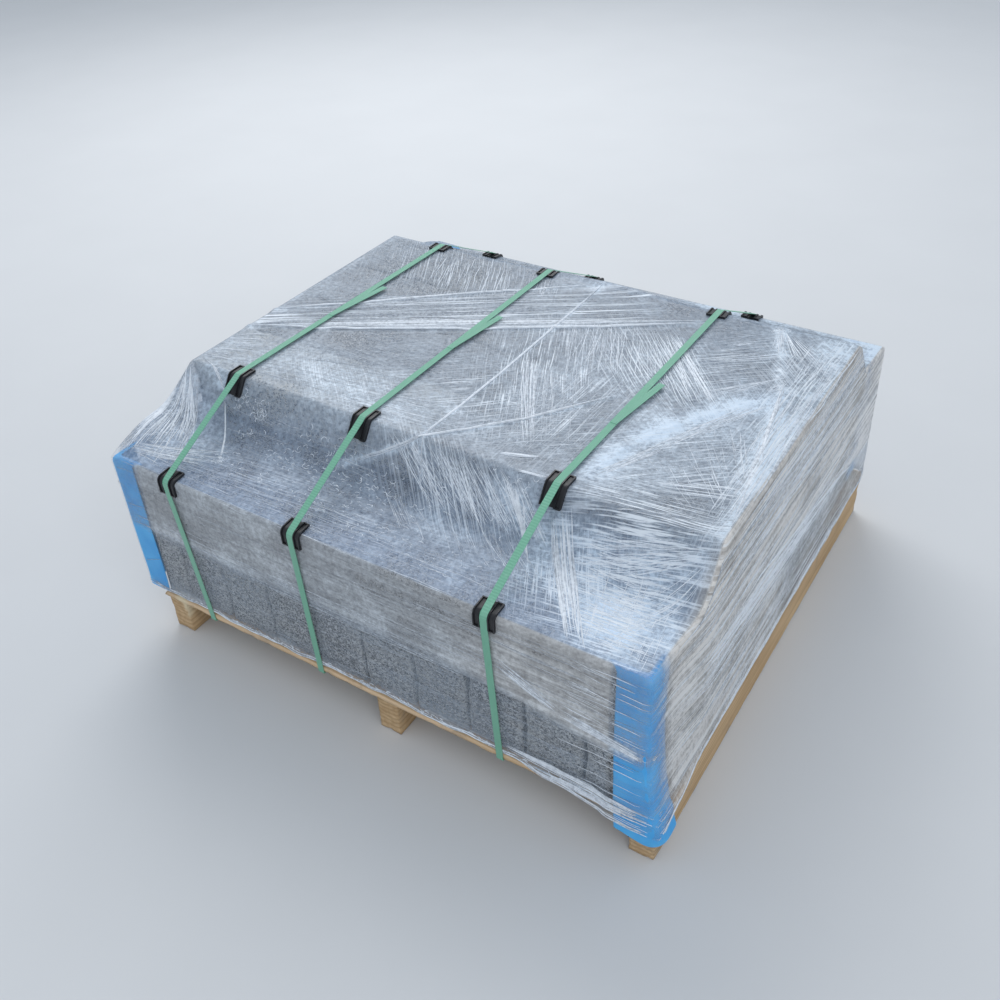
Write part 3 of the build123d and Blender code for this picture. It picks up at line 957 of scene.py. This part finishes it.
def film_material():
    """Clear film, milky where it lies in layers, with families of pale streaks and a painted blue sky sheen."""
    m = Material("film", Roughness=0.30, Specular_IOR_Level=0.5)
    wrap = m.add("ShaderNodeAttribute", attribute_name="wrap").outputs["Vector"]
    bent = m.shaken(5.0, 0.02)

    def drawn_out(place, along, across, roughness=0.6):
        return m.noise(1.0, 3.0, roughness, place=m.vector("MULTIPLY", place, (along, across, 0)))

    broad_lines = m.ramp(drawn_out(wrap, 1 / 700.0, 1 / 15.0), 0.36, 0.66)
    fine_lines = m.ramp(drawn_out(wrap, 1 / 340.0, 1 / 3.6), 0.50, 0.72)
    total = m.times(fine_lines, m.value("wall"))
    for i, (name, (turn, long, wide, share, _)) in enumerate(STREAKS.items()):
        turned = m.add("ShaderNodeMapping", {
            "Vector": bent, "Rotation": (0, 0, math.radians(-turn)), "Location": (i * 3.1, i * 1.7, 0),
        }).outputs[0]
        lines = drawn_out(turned, 1000 / long, 1000 / wide / 2, 0.65)
        streak = m.times(m.ramp(lines, 0.80 - share * 0.6, 0.90 - share * 0.55), m.value(name))
        total = m.maths("MAXIMUM", total, streak)
    mottle = m.ramp(m.noise(11.0, 4.0, 0.62), 0.28, 0.72, 0.74, 1.26)
    specks = m.ramp(m.noise(120.0, 3.0, 0.7), 0.3, 0.7, 0.80, 1.20)
    haze = m.times(m.value("haze"), m.times(mottle, specks))
    broad_share = m.times(m.maths("SUBTRACT", broad_lines, 0.5), m.value("wall"))
    haze = m.plus(haze, m.times(broad_share, 0.55))
    alpha = m.plus(haze, m.times(total, 0.60))
    alpha = m.add("ShaderNodeClamp", {0: alpha, 1: 0.06, 2: 0.96}).outputs[0]
    # Painted sky sheen: the "blue" value turns the dull and milky film colours bluer
    blue = m.value("blue")
    dull = m.mix(blue, (0.37, 0.43, 0.49), (0.33, 0.45, 0.66))
    milk = m.mix(blue, (0.67, 0.76, 0.84), (0.63, 0.78, 0.96))
    brown = m.mix(broad_lines, (0.65, 0.61, 0.57), (0.85, 0.82, 0.78))
    colour = m.mix(m.ramp(haze, 0.35, 0.85), dull, milk)
    colour = m.mix(m.value("warm"), colour, brown)
    m.link(Base_Color=m.mix(total, colour, (0.84, 0.90, 0.96)), Alpha=alpha)
    m.bump(m.plus(m.noise(60.0, 3.0, 0.6), m.times(total, 0.6)), 0.002, 0.6)
    return m.data


def crease_material():
    """The same film gathered into fine ridges, from grey to bright white."""
    m = Material("film_crease", Roughness=0.30, Specular_IOR_Level=0.5)
    speck = m.ramp(m.noise(140.0, 3.0, 0.6), 0.3, 0.7, -0.18, 0.18)
    shade = m.plus(m.value("gleam"), speck)
    colour = m.mix(shade, (0.36, 0.41, 0.48), (0.86, 0.91, 0.97))
    m.link(Base_Color=colour, Alpha=m.ramp(shade, 0.0, 0.8, 0.30, 1.0))
    return m.data


def add_film(material):
    """The film: one thin sheet pulled over the tier, the guards and the edges."""
    roof, rim = film_roof()
    wall = FilmWall(roof, rim)
    points, faces, wrap = film_mesh(roof, rim, wall)
    x, y, up = points[:, 0] - LOAD_X, points[:, 1], points[:, 2] - DECK_TOP
    on_wall = wrap[:, 2] > 0.5
    on_side = on_wall & (np.abs(x) > SIDE_START + 3) & (np.abs(y) < 505)
    roof_haze, roof_sky_sheen = roof_fields(x, y)
    wall_haze, wall_warm = wall_fields(x, y, up)
    corner = climb(x, SIDE_START, 14) * climb(y, -300, -40) * climb(y, -460, 60)
    lines = np.where(on_side, 0.62, np.clip(0.16 + x / 2500, 0.08, 0.24)) - 0.40 * below_rope(x, y, up)
    values = {
        "haze": np.where(on_wall, wall_haze, roof_haze),
        # Painted sky sheen: the roof's field over the load, weak and even on the upright faces
        "blue": np.where(on_wall, 0.20, roof_sky_sheen),
        "warm": np.where(on_wall, wall_warm, 0.6 * corner),
        "wall": np.where(on_wall, lines, 0.0),
    }
    for name, field in streak_fields(x, y).items():
        values[name] = np.where(on_wall, 0.0, field)
    film = mesh_object("film", points, faces, material, values=values)
    attribute = film.data.attributes.new("wrap", "FLOAT_VECTOR", "POINT")
    attribute.data.foreach_set("vector", wrap.astype(np.float32).ravel())
    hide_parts("stretch_film")
    return film, wall


# Creases: fine ridges of gathered film, in bundles that run from one line to another
CREASE_STEP = 11.0
ROPE_STEP = 7.0
CREASE_SINK = 0.25


def ridge(points, upward, width, height):
    """A closed three-sided ridge along points, narrowing to nothing at both ends."""
    across = unit(np.cross(unit(np.gradient(points, axis=0)), upward))
    t = np.linspace(0, 1, len(points))
    taper = np.clip(np.minimum(t, 1 - t) * 5.0, 0.04, 1.0)[:, None]
    sink = upward * CREASE_SINK
    left = points - across * width / 2 * taper - sink
    right = points + across * width / 2 * taper - sink
    crest = points + upward * height * taper
    rings = np.stack([left, crest, right], axis=1).reshape(-1, 3)
    faces = grid_faces(len(points), 3, closed=True, turned=True)
    last = 3 * (len(points) - 1)
    return rings, faces + [(0, 1, 2), (last + 2, last + 1, last)]


class Ridges:
    """Many ridges gathered into one mesh."""

    def __init__(self):
        self.points, self.faces, self.gleam, self.count = [], [], [], 0

    def add(self, points, upward, width, height, gleam):
        rings, faces = ridge(points, upward, width, height)
        self.faces += [tuple(self.count + i for i in face) for face in faces]
        self.points.append(rings)
        self.gleam += [gleam] * len(rings)
        self.count += len(rings)

    def build(self, name, material):
        made = mesh_object(name, np.vstack(self.points), self.faces, material, values={"gleam": self.gleam})
        return made


def rounded_edge(beyond):
    """How far the film has dropped at a distance past the start of its rounded rim."""
    beyond = np.clip(beyond, 0, 0.95 * EDGE_RADIUS)
    return EDGE_RADIUS - np.sqrt(EDGE_RADIUS ** 2 - beyond ** 2)


def roof_place(x, y):
    """Points on the film over the load, and its upward directions there."""
    plain = roof_height(y)
    left, right = roof_ends(y, plain)
    x = np.clip(x, left - LOAD_X + 0.5, right - LOAD_X - 0.5)
    z = plain + end_tent(x, y) + fold_height(x, y) - rounded_edge(np.abs(y) - ROOF_DEPTH)
    z -= rounded_edge(x + LOAD_X - (right - EDGE_RADIUS)) + rounded_edge(left + EDGE_RADIUS - x - LOAD_X)
    tiny = 0.5
    slope_x = (fold_height(x + tiny, y) - fold_height(x - tiny, y)) / (2 * tiny)
    slope_y = (roof_height(y + tiny) + fold_height(x, y + tiny) - roof_height(y - tiny)
               - fold_height(x, y - tiny)) / (2 * tiny)
    return np.column_stack([x + LOAD_X, y, z]), unit(np.column_stack([-slope_x, -slope_y, np.ones_like(x)]))


# Bundles over the load: the line they start on, the line they end on (mm from the load's middle),
# how many creases, their widths, how bright, and the share of the way that one crease covers
ROOF_BUNDLES = [
    # the white band from the left end to the back edge
    ((-512, -92), (-512, -170), (20, 302), (290, 288), 60, (0.9, 2.2), (0.25, 0.65), (0.2, 0.8)),
    ((-512, -150), (-512, -172), (240, 250), (290, 284), 26, (1.4, 2.8), (0.55, 0.9), (0.3, 0.9)),
    # the clear field behind it
    ((-350, 296), (-180, 296), (-290, 130), (-110, 150), 30, (1.0, 2.2), (0.6, 1.0), (0.3, 0.9)),
    ((-130, 296), (-60, 296), (-90, 190), (-20, 200), 12, (1.0, 2.0), (0.5, 0.9), (0.3, 0.8)),
    ((-480, 120), (-480, 296), (-250, 60), (-200, 290), 26, (0.9, 1.6), (0.1, 0.4), (0.1, 0.4)),
    # long falling streaks between the middle and right straps
    ((60, 190), (240, 205), (110, 0), (410, -6), 60, (0.9, 2.0), (0.6, 1.0), (0.3, 1.0)),
    ((150, 185), (215, 200), (330, -50), (410, -10), 16, (1.4, 2.4), (0.9, 1.0), (0.6, 1.0)),
    ((20, 140), (90, 190), (90, 0), (190, -30), 34, (0.8, 1.5), (0.4, 0.8), (0.2, 0.7)),
    # the fan right of the right strap
    ((290, 40), (310, 200), (425, 140), (395, 262), 54, (0.9, 1.8), (0.4, 0.85), (0.2, 0.8)),
    ((330, 20), (372, 10), (440, 120), (455, 150), 16, (1.0, 1.9), (0.6, 0.95), (0.4, 1.0)),
    # rays from the knot at the back
    ((385, 298), (395, 300), (400, 190), (500, 215), 30, (1.0, 2.2), (0.7, 1.0), (0.3, 1.0)),
    ((440, 290), (505, 250), (440, 120), (520, 90), 36, (0.9, 2.0), (0.5, 0.95), (0.2, 0.6)),
    # crossing lines over the front half, right of the middle
    ((-10, 10), (120, 40), (130, -240), (250, -250), 60, (0.8, 1.5), (0.35, 0.75), (0.2, 0.7)),
    ((20, 5), (40, 15), (171, -247), (188, -240), 8, (2.0, 3.4), (0.6, 0.8), (0.8, 1.0)),
    ((60, -20), (80, -290), (270, -10), (290, -230), 50, (0.8, 1.4), (0.25, 0.6), (0.1, 0.5)),
    ((40, -250), (60, -300), (240, 0), (290, -120), 40, (0.8, 1.5), (0.3, 0.7), (0.2, 0.6)),
    ((140, -284), (142, -280), (206, -262), (210, -258), 4, (2.0, 3.0), (0.9, 1.0), (0.9, 1.0)),
    ((188, -308), (190, -302), (240, -302), (246, -298), 4, (1.6, 2.6), (0.9, 1.0), (0.9, 1.0)),
    # the left front half of the top tier
    ((-480, -200), (-470, -290), (-60, -60), (0, -260), 60, (0.8, 1.6), (0.1, 0.45), (0.1, 0.5)),
    ((-300, -60), (-380, -150), (60, -30), (10, -200), 40, (0.8, 1.6), (0.2, 0.6), (0.1, 0.5)),
    ((-180, -296), (-160, -240), (10, -300), (20, -200), 40, (1.0, 2.0), (0.4, 0.8), (0.2, 0.7)),
    # the wide pale fold and the triangle beyond it
    ((288, -275), (306, -275), (450, 70), (480, 80), 46, (1.2, 2.6), (0.5, 0.85), (0.1, 0.4)),
    ((310, -280), (400, -110), (430, -290), (500, -60), 50, (0.8, 1.6), (0.3, 0.75), (0.15, 0.6)),
    ((330, -170), (440, 0), (480, -290), (520, -180), 50, (0.9, 1.8), (0.4, 0.85), (0.15, 0.6)),
    ((370, -258), (375, -230), (515, -215), (520, -180), 20, (1.2, 2.4), (0.7, 1.0), (0.3, 0.9)),
    ((456, 120), (464, 120), (514, -150), (530, -300), 24, (1.2, 2.6), (0.6, 0.9), (0.2, 0.7)),
    # the right edge
    ((488, -300), (533, -300), (470, 100), (533, 300), 90, (1.1, 2.8), (0.45, 0.9), (0.08, 0.35)),
    # the front slope, from left to right
    ((-505, -305), (-470, -310), (-522, -495), (-380, -500), 50, (1.0, 2.2), (0.3, 0.8), (0.3, 1.0)),
    ((-400, -330), (-420, -400), (0, -330), (-30, -410), 46, (0.8, 1.6), (0.15, 0.5), (0.1, 0.4)),
    ((-60, -306), (200, -306), (80, -372), (300, -366), 130, (0.7, 1.5), (0.5, 1.0), (0.4, 1.0)),
    ((90, -314), (100, -314), (150, -360), (170, -372), 6, (1.2, 2.2), (0.8, 1.0), (0.8, 1.0)),
    ((-30, -360), (220, -360), (60, -430), (330, -430), 60, (0.7, 1.4), (0.4, 0.8), (0.2, 0.7)),
    ((-510, -430), (-510, -505), (260, -430), (260, -505), 80, (0.8, 1.8), (0.35, 0.7), (0.05, 0.25)),
    ((172, -312), (215, -322), (225, -345), (270, -400), 34, (1.2, 2.6), (0.7, 1.0), (0.4, 1.0)),
    ((262, -322), (296, -318), (388, -498), (424, -506), 50, (1.2, 2.8), (0.6, 1.0), (0.3, 0.9)),
    # the white corner on the right
    ((330, -345), (392, -480), (440, -345), (522, -480), 120, (1.0, 2.4), (0.8, 1.0), (0.1, 0.5)),
    ((520, -315), (530, -322), (330, -330), (300, -400), 44, (0.8, 1.6), (0.8, 1.0), (0.3, 0.8)),
    ((520, -320), (524, -330), (380, -420), (440, -500), 30, (0.8, 1.6), (0.85, 1.0), (0.2, 0.6)),
    ((360, -350), (500, -350), (400, -500), (510, -500), 50, (0.8, 1.6), (0.8, 1.0), (0.1, 0.4)),
    ((360, -300), (340, -400), (520, -270), (510, -380), 90, (0.8, 1.8), (0.8, 1.0), (0.08, 0.3)),
    # rays from the tier's left front corner down to the guard
    ((-512, -300), (-508, -302), (-500, -500), (-528, -440), 26, (1.8, 3.6), (0.75, 1.0), (0.5, 1.0)),
    ((-508, -302), (-500, -304), (-420, -430), (-500, -500), 22, (1.6, 3.0), (0.6, 0.95), (0.3, 0.9)),
    ((-502, -304), (-496, -304), (-420, -400), (-440, -440), 8, (2.0, 3.4), (0.9, 1.0), (0.5, 1.0)),
    ((-505, -470), (-515, -490), (-330, -400), (-340, -450), 22, (1.4, 2.8), (0.5, 0.9), (0.4, 1.0)),
    ((-505, -200), (-505, -300), (-430, -150), (-400, -290), 30, (1.2, 2.6), (0.6, 0.95), (0.3, 0.9)),
    ((-488, -286), (-440, -304), (-414, -312), (-386, -336), 26, (1.0, 2.2), (0.5, 0.95), (0.25, 0.8)),
    ((-400, -332), (-391, -335), (-341, -420), (-333, -421), 5, (1.6, 2.6), (0.85, 1.0), (0.9, 1.0)),
    # the left edge and the back slope
    ((-528, -440), (-500, -300), (-524, 440), (-500, 300), 50, (1.0, 2.2), (0.2, 0.6), (0.05, 0.3)),
    ((-500, 310), (-120, 310), (-470, 480), (-60, 490), 60, (0.9, 1.8), (0.3, 0.8), (0.2, 0.8)),
    ((-120, 345), (-60, 470), (260, 330), (280, 470), 60, (1.0, 2.2), (0.3, 0.8), (0.1, 0.5)),
    ((280, 312), (400, 312), (380, 490), (520, 500), 60, (1.0, 2.2), (0.4, 0.9), (0.2, 0.8)),
]
# Single large strands, as paths: width, brightness
ROOF_ROPES = [
    (LOWER_STRAND, 4.2, 0.85), (UPPER_STRAND, 3.6, 0.75), (ROPE_FOLD, 3.2, 0.8), (JOINT_FOLD, 3.4, 0.85),
]


# Short curls: the middle and the half size of the place that they lie in, and how many
ROOF_CURLS = [
    ((-120, -366), (130, 22), 150), ((458, 110), (9, 12), 46), ((392, 292), (8, 8), 26),
    ((200, -335), (30, 22), 60), ((500, 220), (18, 40), 60), ((-60, -430), (230, 28), 170),
    ((-337, -424), (8, 6), 26), ((-311, -334), (9, 6), 24), ((-356, -329), (10, 6), 20),
]
SHORTEST_CREASE = 4.0
CREASE_SPREAD = 0.06         # how far a crease's end strays in its bundle
CREASE_BOW = 0.012           # how far it bows, as a share of its length
CREASE_WOBBLE = 1.2
WOBBLE_LENGTHS = (55, 120)
FULL_TURN = 6.3
CREASE_HEIGHT = 0.28         # as a share of its width


def add_bundle(ridges, draw, bundle, place):
    """Creases of one bundle; place turns two coordinates into points and upward directions."""
    a0, a1, b0, b1, count, widths, gleams, covers = bundle
    a0, a1, b0, b1 = (np.array(p, float) for p in (a0, a1, b0, b1))
    for _ in range(count):
        share = draw.random()
        start = a0 + (a1 - a0) * share
        end = b0 + (b1 - b0) * min(1.0, max(0.0, share + draw.gauss(0, CREASE_SPREAD)))
        cover = draw.uniform(*covers)
        first = draw.uniform(0, 1 - cover)
        start, end = start + (end - start) * first, start + (end - start) * (first + cover)
        run = end - start
        long = np.linalg.norm(run)
        if long < SHORTEST_CREASE:
            continue
        t = np.linspace(0, 1, max(4, int(long / CREASE_STEP) + 1))
        across = np.array([-run[1], run[0]])
        bow = np.sin(math.pi * t)
        line = start + run * t[:, None] + across * draw.gauss(0, CREASE_BOW) * bow[:, None]
        wobble = draw.uniform(0, CREASE_WOBBLE)
        waves = 2 * math.pi * long / draw.uniform(*WOBBLE_LENGTHS)
        line += across / long * (wobble * np.sin(waves * t + draw.uniform(0, FULL_TURN)) * bow)[:, None]
        points, upward = place(line[:, 0], line[:, 1])
        width = draw.uniform(*widths)
        ridges.add(points, upward, width, CREASE_HEIGHT * width, draw.uniform(*gleams))


def add_curls(ridges, draw, place, curls):
    """Short bright curls, each a bit of an arc, mostly near the middle of their place."""
    for middle, half, count in curls:
        for _ in range(count):
            cx, cy = (middle[i] + half[i] * draw.triangular(-1.9, 1.9) for i in (0, 1))
            size, turn, sweep = draw.uniform(2.5, 7.0), draw.uniform(0, FULL_TURN), draw.uniform(1.2, 3.4)
            angle = turn + np.linspace(0, sweep, 6)
            points, upward = place(cx + size * np.cos(angle), cy + size * 0.6 * np.sin(angle))
            ridges.add(points, upward, draw.uniform(0.9, 1.7), 0.5, draw.uniform(0.75, 1.0))


def smooth_path(path, step):
    """Points along a path, rounded at its corners."""
    path = np.array(path, float)
    way = steps_of(path)
    fine = np.arange(0, way[-1], step)
    line = np.column_stack([np.interp(fine, way, path[:, i]) for i in (0, 1)])
    for _ in range(12):
        line[1:-1] = (line[:-2] + 2 * line[1:-1] + line[2:]) / 4
    return line


def add_roof_creases(material):
    """All the ridges over the load, as one piece."""
    draw = random.Random(31)
    ridges = Ridges()
    for bundle in ROOF_BUNDLES:
        add_bundle(ridges, draw, bundle, roof_place)
    for path, width, gleam in ROOF_ROPES:
        line = smooth_path(path, ROPE_STEP)
        for offset in (-0.35, 0.0, 0.4):
            points, upward = roof_place(line[:, 0] + offset * width, line[:, 1] - offset * width)
            ridges.add(points, upward, width * 0.7, width * 0.3, gleam)
    add_curls(ridges, draw, roof_place, ROOF_CURLS)
    return ridges.build("film_creases", material)


# Heights above the deck of the crisp lines that hold the front right guard
GUARD_LINES = (283, 266, 257, 240, 214, 190, 170, 161, 122, 104, 92, 58, 34, 6, -6, -14)
GUARD_LINE_STARTS = (890, 1000)
GUARD_LINE_ENDS = (1018, 1052)
LOW_LINE = 20                # lines under this height run further round the corner
LOW_LINE_ENDS = (1055, 1090)
HEM_LIFTS = (1.5, 4.0, 7.5)  # of the gathered lower edge's lines
HEM_LINE_LENGTHS = (60, 240)
WALL_CURLS = [((500, 10), (320, 4), 150), ((1540, 0), (280, 4), 60)]
# Bundles round the load, as those over it, in the wall's unrolled place: way round from the left front
# corner, height above the deck
WALL_BUNDLES = [
    # front: the lap over the middle kerbs, then the clearer film below
    ((0, 148), (0, 183), (800, 144), (800, 180), 40, (1.0, 2.4), (0.25, 0.5), (0.1, 0.5)),
    ((0, 183), (0, 292), (FRONT_END, 183), (FRONT_END, 292), 44, (0.9, 1.8), (0.25, 0.5), (0.05, 0.3)),
    ((790, 204), (790, 226), (905, 152), (905, 172), 20, (1.6, 3.2), (0.5, 0.8), (0.3, 0.9)),
    ((895, 152), (895, 172), (1060, 130), (1060, 144), 24, (1.6, 3.2), (0.5, 0.9), (0.3, 0.9)),
    ((900, 180), (900, 290), (1000, 170), (1000, 284), 20, (0.9, 1.6), (0.6, 0.95), (0.3, 0.9)),
    ((0, 28), (0, 148), (FRONT_END, 28), (FRONT_END, 148), 40, (0.8, 1.4), (0.15, 0.35), (0.05, 0.2)),
    # the ropes along the foot, right of the right strap
    ((800, 20), (800, 30), (1055, 12), (1055, 22), 14, (1.6, 3.0), (0.6, 0.95), (0.5, 1.0)),
    ((840, 2), (840, 10), (1055, -2), (1055, 10), 16, (1.8, 3.4), (0.6, 0.95), (0.5, 1.0)),
    # over the front left guard
    ((-30, 18), (-30, 288), (60, 18), (60, 288), 5, (0.8, 1.4), (0.3, 0.6), (0.3, 0.9)),
    # right: long straight lines
    ((1055, 8), (1055, 388), (RIGHT_END, 4), (RIGHT_END, 388), 230, (0.9, 2.6), (0.3, 0.8), (0.08, 0.5)),
    ((1100, 158), (1130, 228), (1560, 108), (RIGHT_END, 123), 26, (1.6, 3.6), (0.7, 1.0), (0.4, 0.9)),
    ((1260, 308), (1270, 388), (RIGHT_END, 238), (RIGHT_END, 378), 60, (1.2, 3.0), (0.5, 0.95), (0.15, 0.6)),
    ((1110, -6), (1110, 4), (2020, -8), (2020, 2), 26, (1.6, 3.2), (0.6, 1.0), (0.1, 0.5)),
    # back and left
    ((2070, 8), (2070, 298), (3110, 8), (3110, 298), 190, (0.9, 2.4), (0.2, 0.7), (0.08, 0.4)),
    ((3120, 8), (3120, 388), (4120, 8), (4120, 388), 190, (0.9, 2.4), (0.2, 0.7), (0.08, 0.4)),
]


def add_wall_creases(material, wall):
    """All the ridges round the load, as one piece."""
    draw = random.Random(47)
    ridges = Ridges()

    def edge(along, heights):
        return np.interp(np.mod(along, wall.length), wall.along, heights)

    def place(along, up):
        """Heights above or below the film are brought back onto it."""
        return wall.at(along, np.clip(DECK_TOP + up, edge(along, wall.bottom) + 1.0, edge(along, wall.top)))

    for bundle in WALL_BUNDLES:
        add_bundle(ridges, draw, bundle, place)
    for up in GUARD_LINES:
        end = draw.uniform(*(LOW_LINE_ENDS if up < LOW_LINE else GUARD_LINE_ENDS))
        along = np.linspace(draw.uniform(*GUARD_LINE_STARTS), end, 16)
        points, out = place(along, up + draw.uniform(-3, 3) + 2.0 * np.sin(along / 30.0))
        ridges.add(points, out, draw.uniform(0.9, 2.0), 0.5, draw.uniform(0.6, 1.0))
    line = smooth_path(WALL_ROPE, ROPE_STEP)
    for offset in (-1.3, 0.0, 1.4):
        points, out = place(line[:, 0], line[:, 1] + offset)
        ridges.add(points, out, 2.8, 1.2, 1.0)
    for lift in HEM_LIFTS:
        start = 0.0
        while start < wall.length:
            long = draw.uniform(*HEM_LINE_LENGTHS)
            along = np.linspace(start, min(start + long, wall.length), int(long / 9.0) + 4)
            low = edge(along, wall.bottom) - DECK_TOP
            points, out = place(along, low + lift + 1.2 * np.sin(along / 13.0 + lift))
            ridges.add(points, out, draw.uniform(1.8, 3.6), draw.uniform(0.8, 1.4), draw.uniform(0.45, 0.95))
            start += long * draw.uniform(0.7, 1.1)
    add_curls(ridges, draw, place, WALL_CURLS)
    return ridges.build("film_wall_creases", material)


# Floor and light
WORLD_COLOUR = (0.82, 0.90, 1.0, 1)
WORLD_STRENGTH = 0.66
LAMPS = (("key", (-2.2, 2.6, 3.6), 3.2, 104.0), ("fill", (2.6, -2.4, 3.2), 3.0, 38.0))
LAMP_AIM = (0, 0, 0.2)


def add_stage():
    """A plain pale floor under soft light from above."""
    bpy.ops.mesh.primitive_plane_add(size=30, location=(0, 0, 0))
    floor = bpy.context.object
    floor.name = "floor"
    m = Material("floor", Roughness=0.9)
    m.link(Base_Color=m.mix(m.noise(3.0, 4.0), (0.66, 0.67, 0.68), (0.70, 0.71, 0.72)))
    floor.data.materials.append(m.data)
    world = bpy.data.worlds.new("world")
    bpy.context.scene.world = world
    world.use_nodes = True
    background = world.node_tree.nodes["Background"]
    background.inputs["Color"].default_value = WORLD_COLOUR
    background.inputs["Strength"].default_value = WORLD_STRENGTH
    for name, place, size, power in LAMPS:
        light = bpy.data.lights.new(name, "AREA")
        light.size = size
        light.energy = power
        lamp = bpy.data.objects.new(name, light)
        bpy.context.scene.collection.objects.link(lamp)
        lamp.location = place
        lamp.rotation_euler = (Vector(LAMP_AIM) - Vector(place)).to_track_quat("-Z", "Y").to_euler()


bpy.context.scene.view_settings.view_transform = "Standard"
add_camera()
add_stage()
add_stones(granite_material())
add_timber(
    timber_material("bearer_timber", "Y", (0.66, 0.47, 0.27), (0.47, 0.31, 0.16)),
    timber_material("deck_timber", "X", (0.74, 0.54, 0.34), (0.55, 0.38, 0.21)),
)
foam = guard_material()
for guard_node in nodes_named("corner_guard"):
    add_guard(guard_node, foam)
add_straps(strap_material(), protector_material())
film_sheet, film_wall = add_film(film_material())
ridged = crease_material()
creases = [add_roof_creases(ridged), add_wall_creases(ridged, film_wall)]
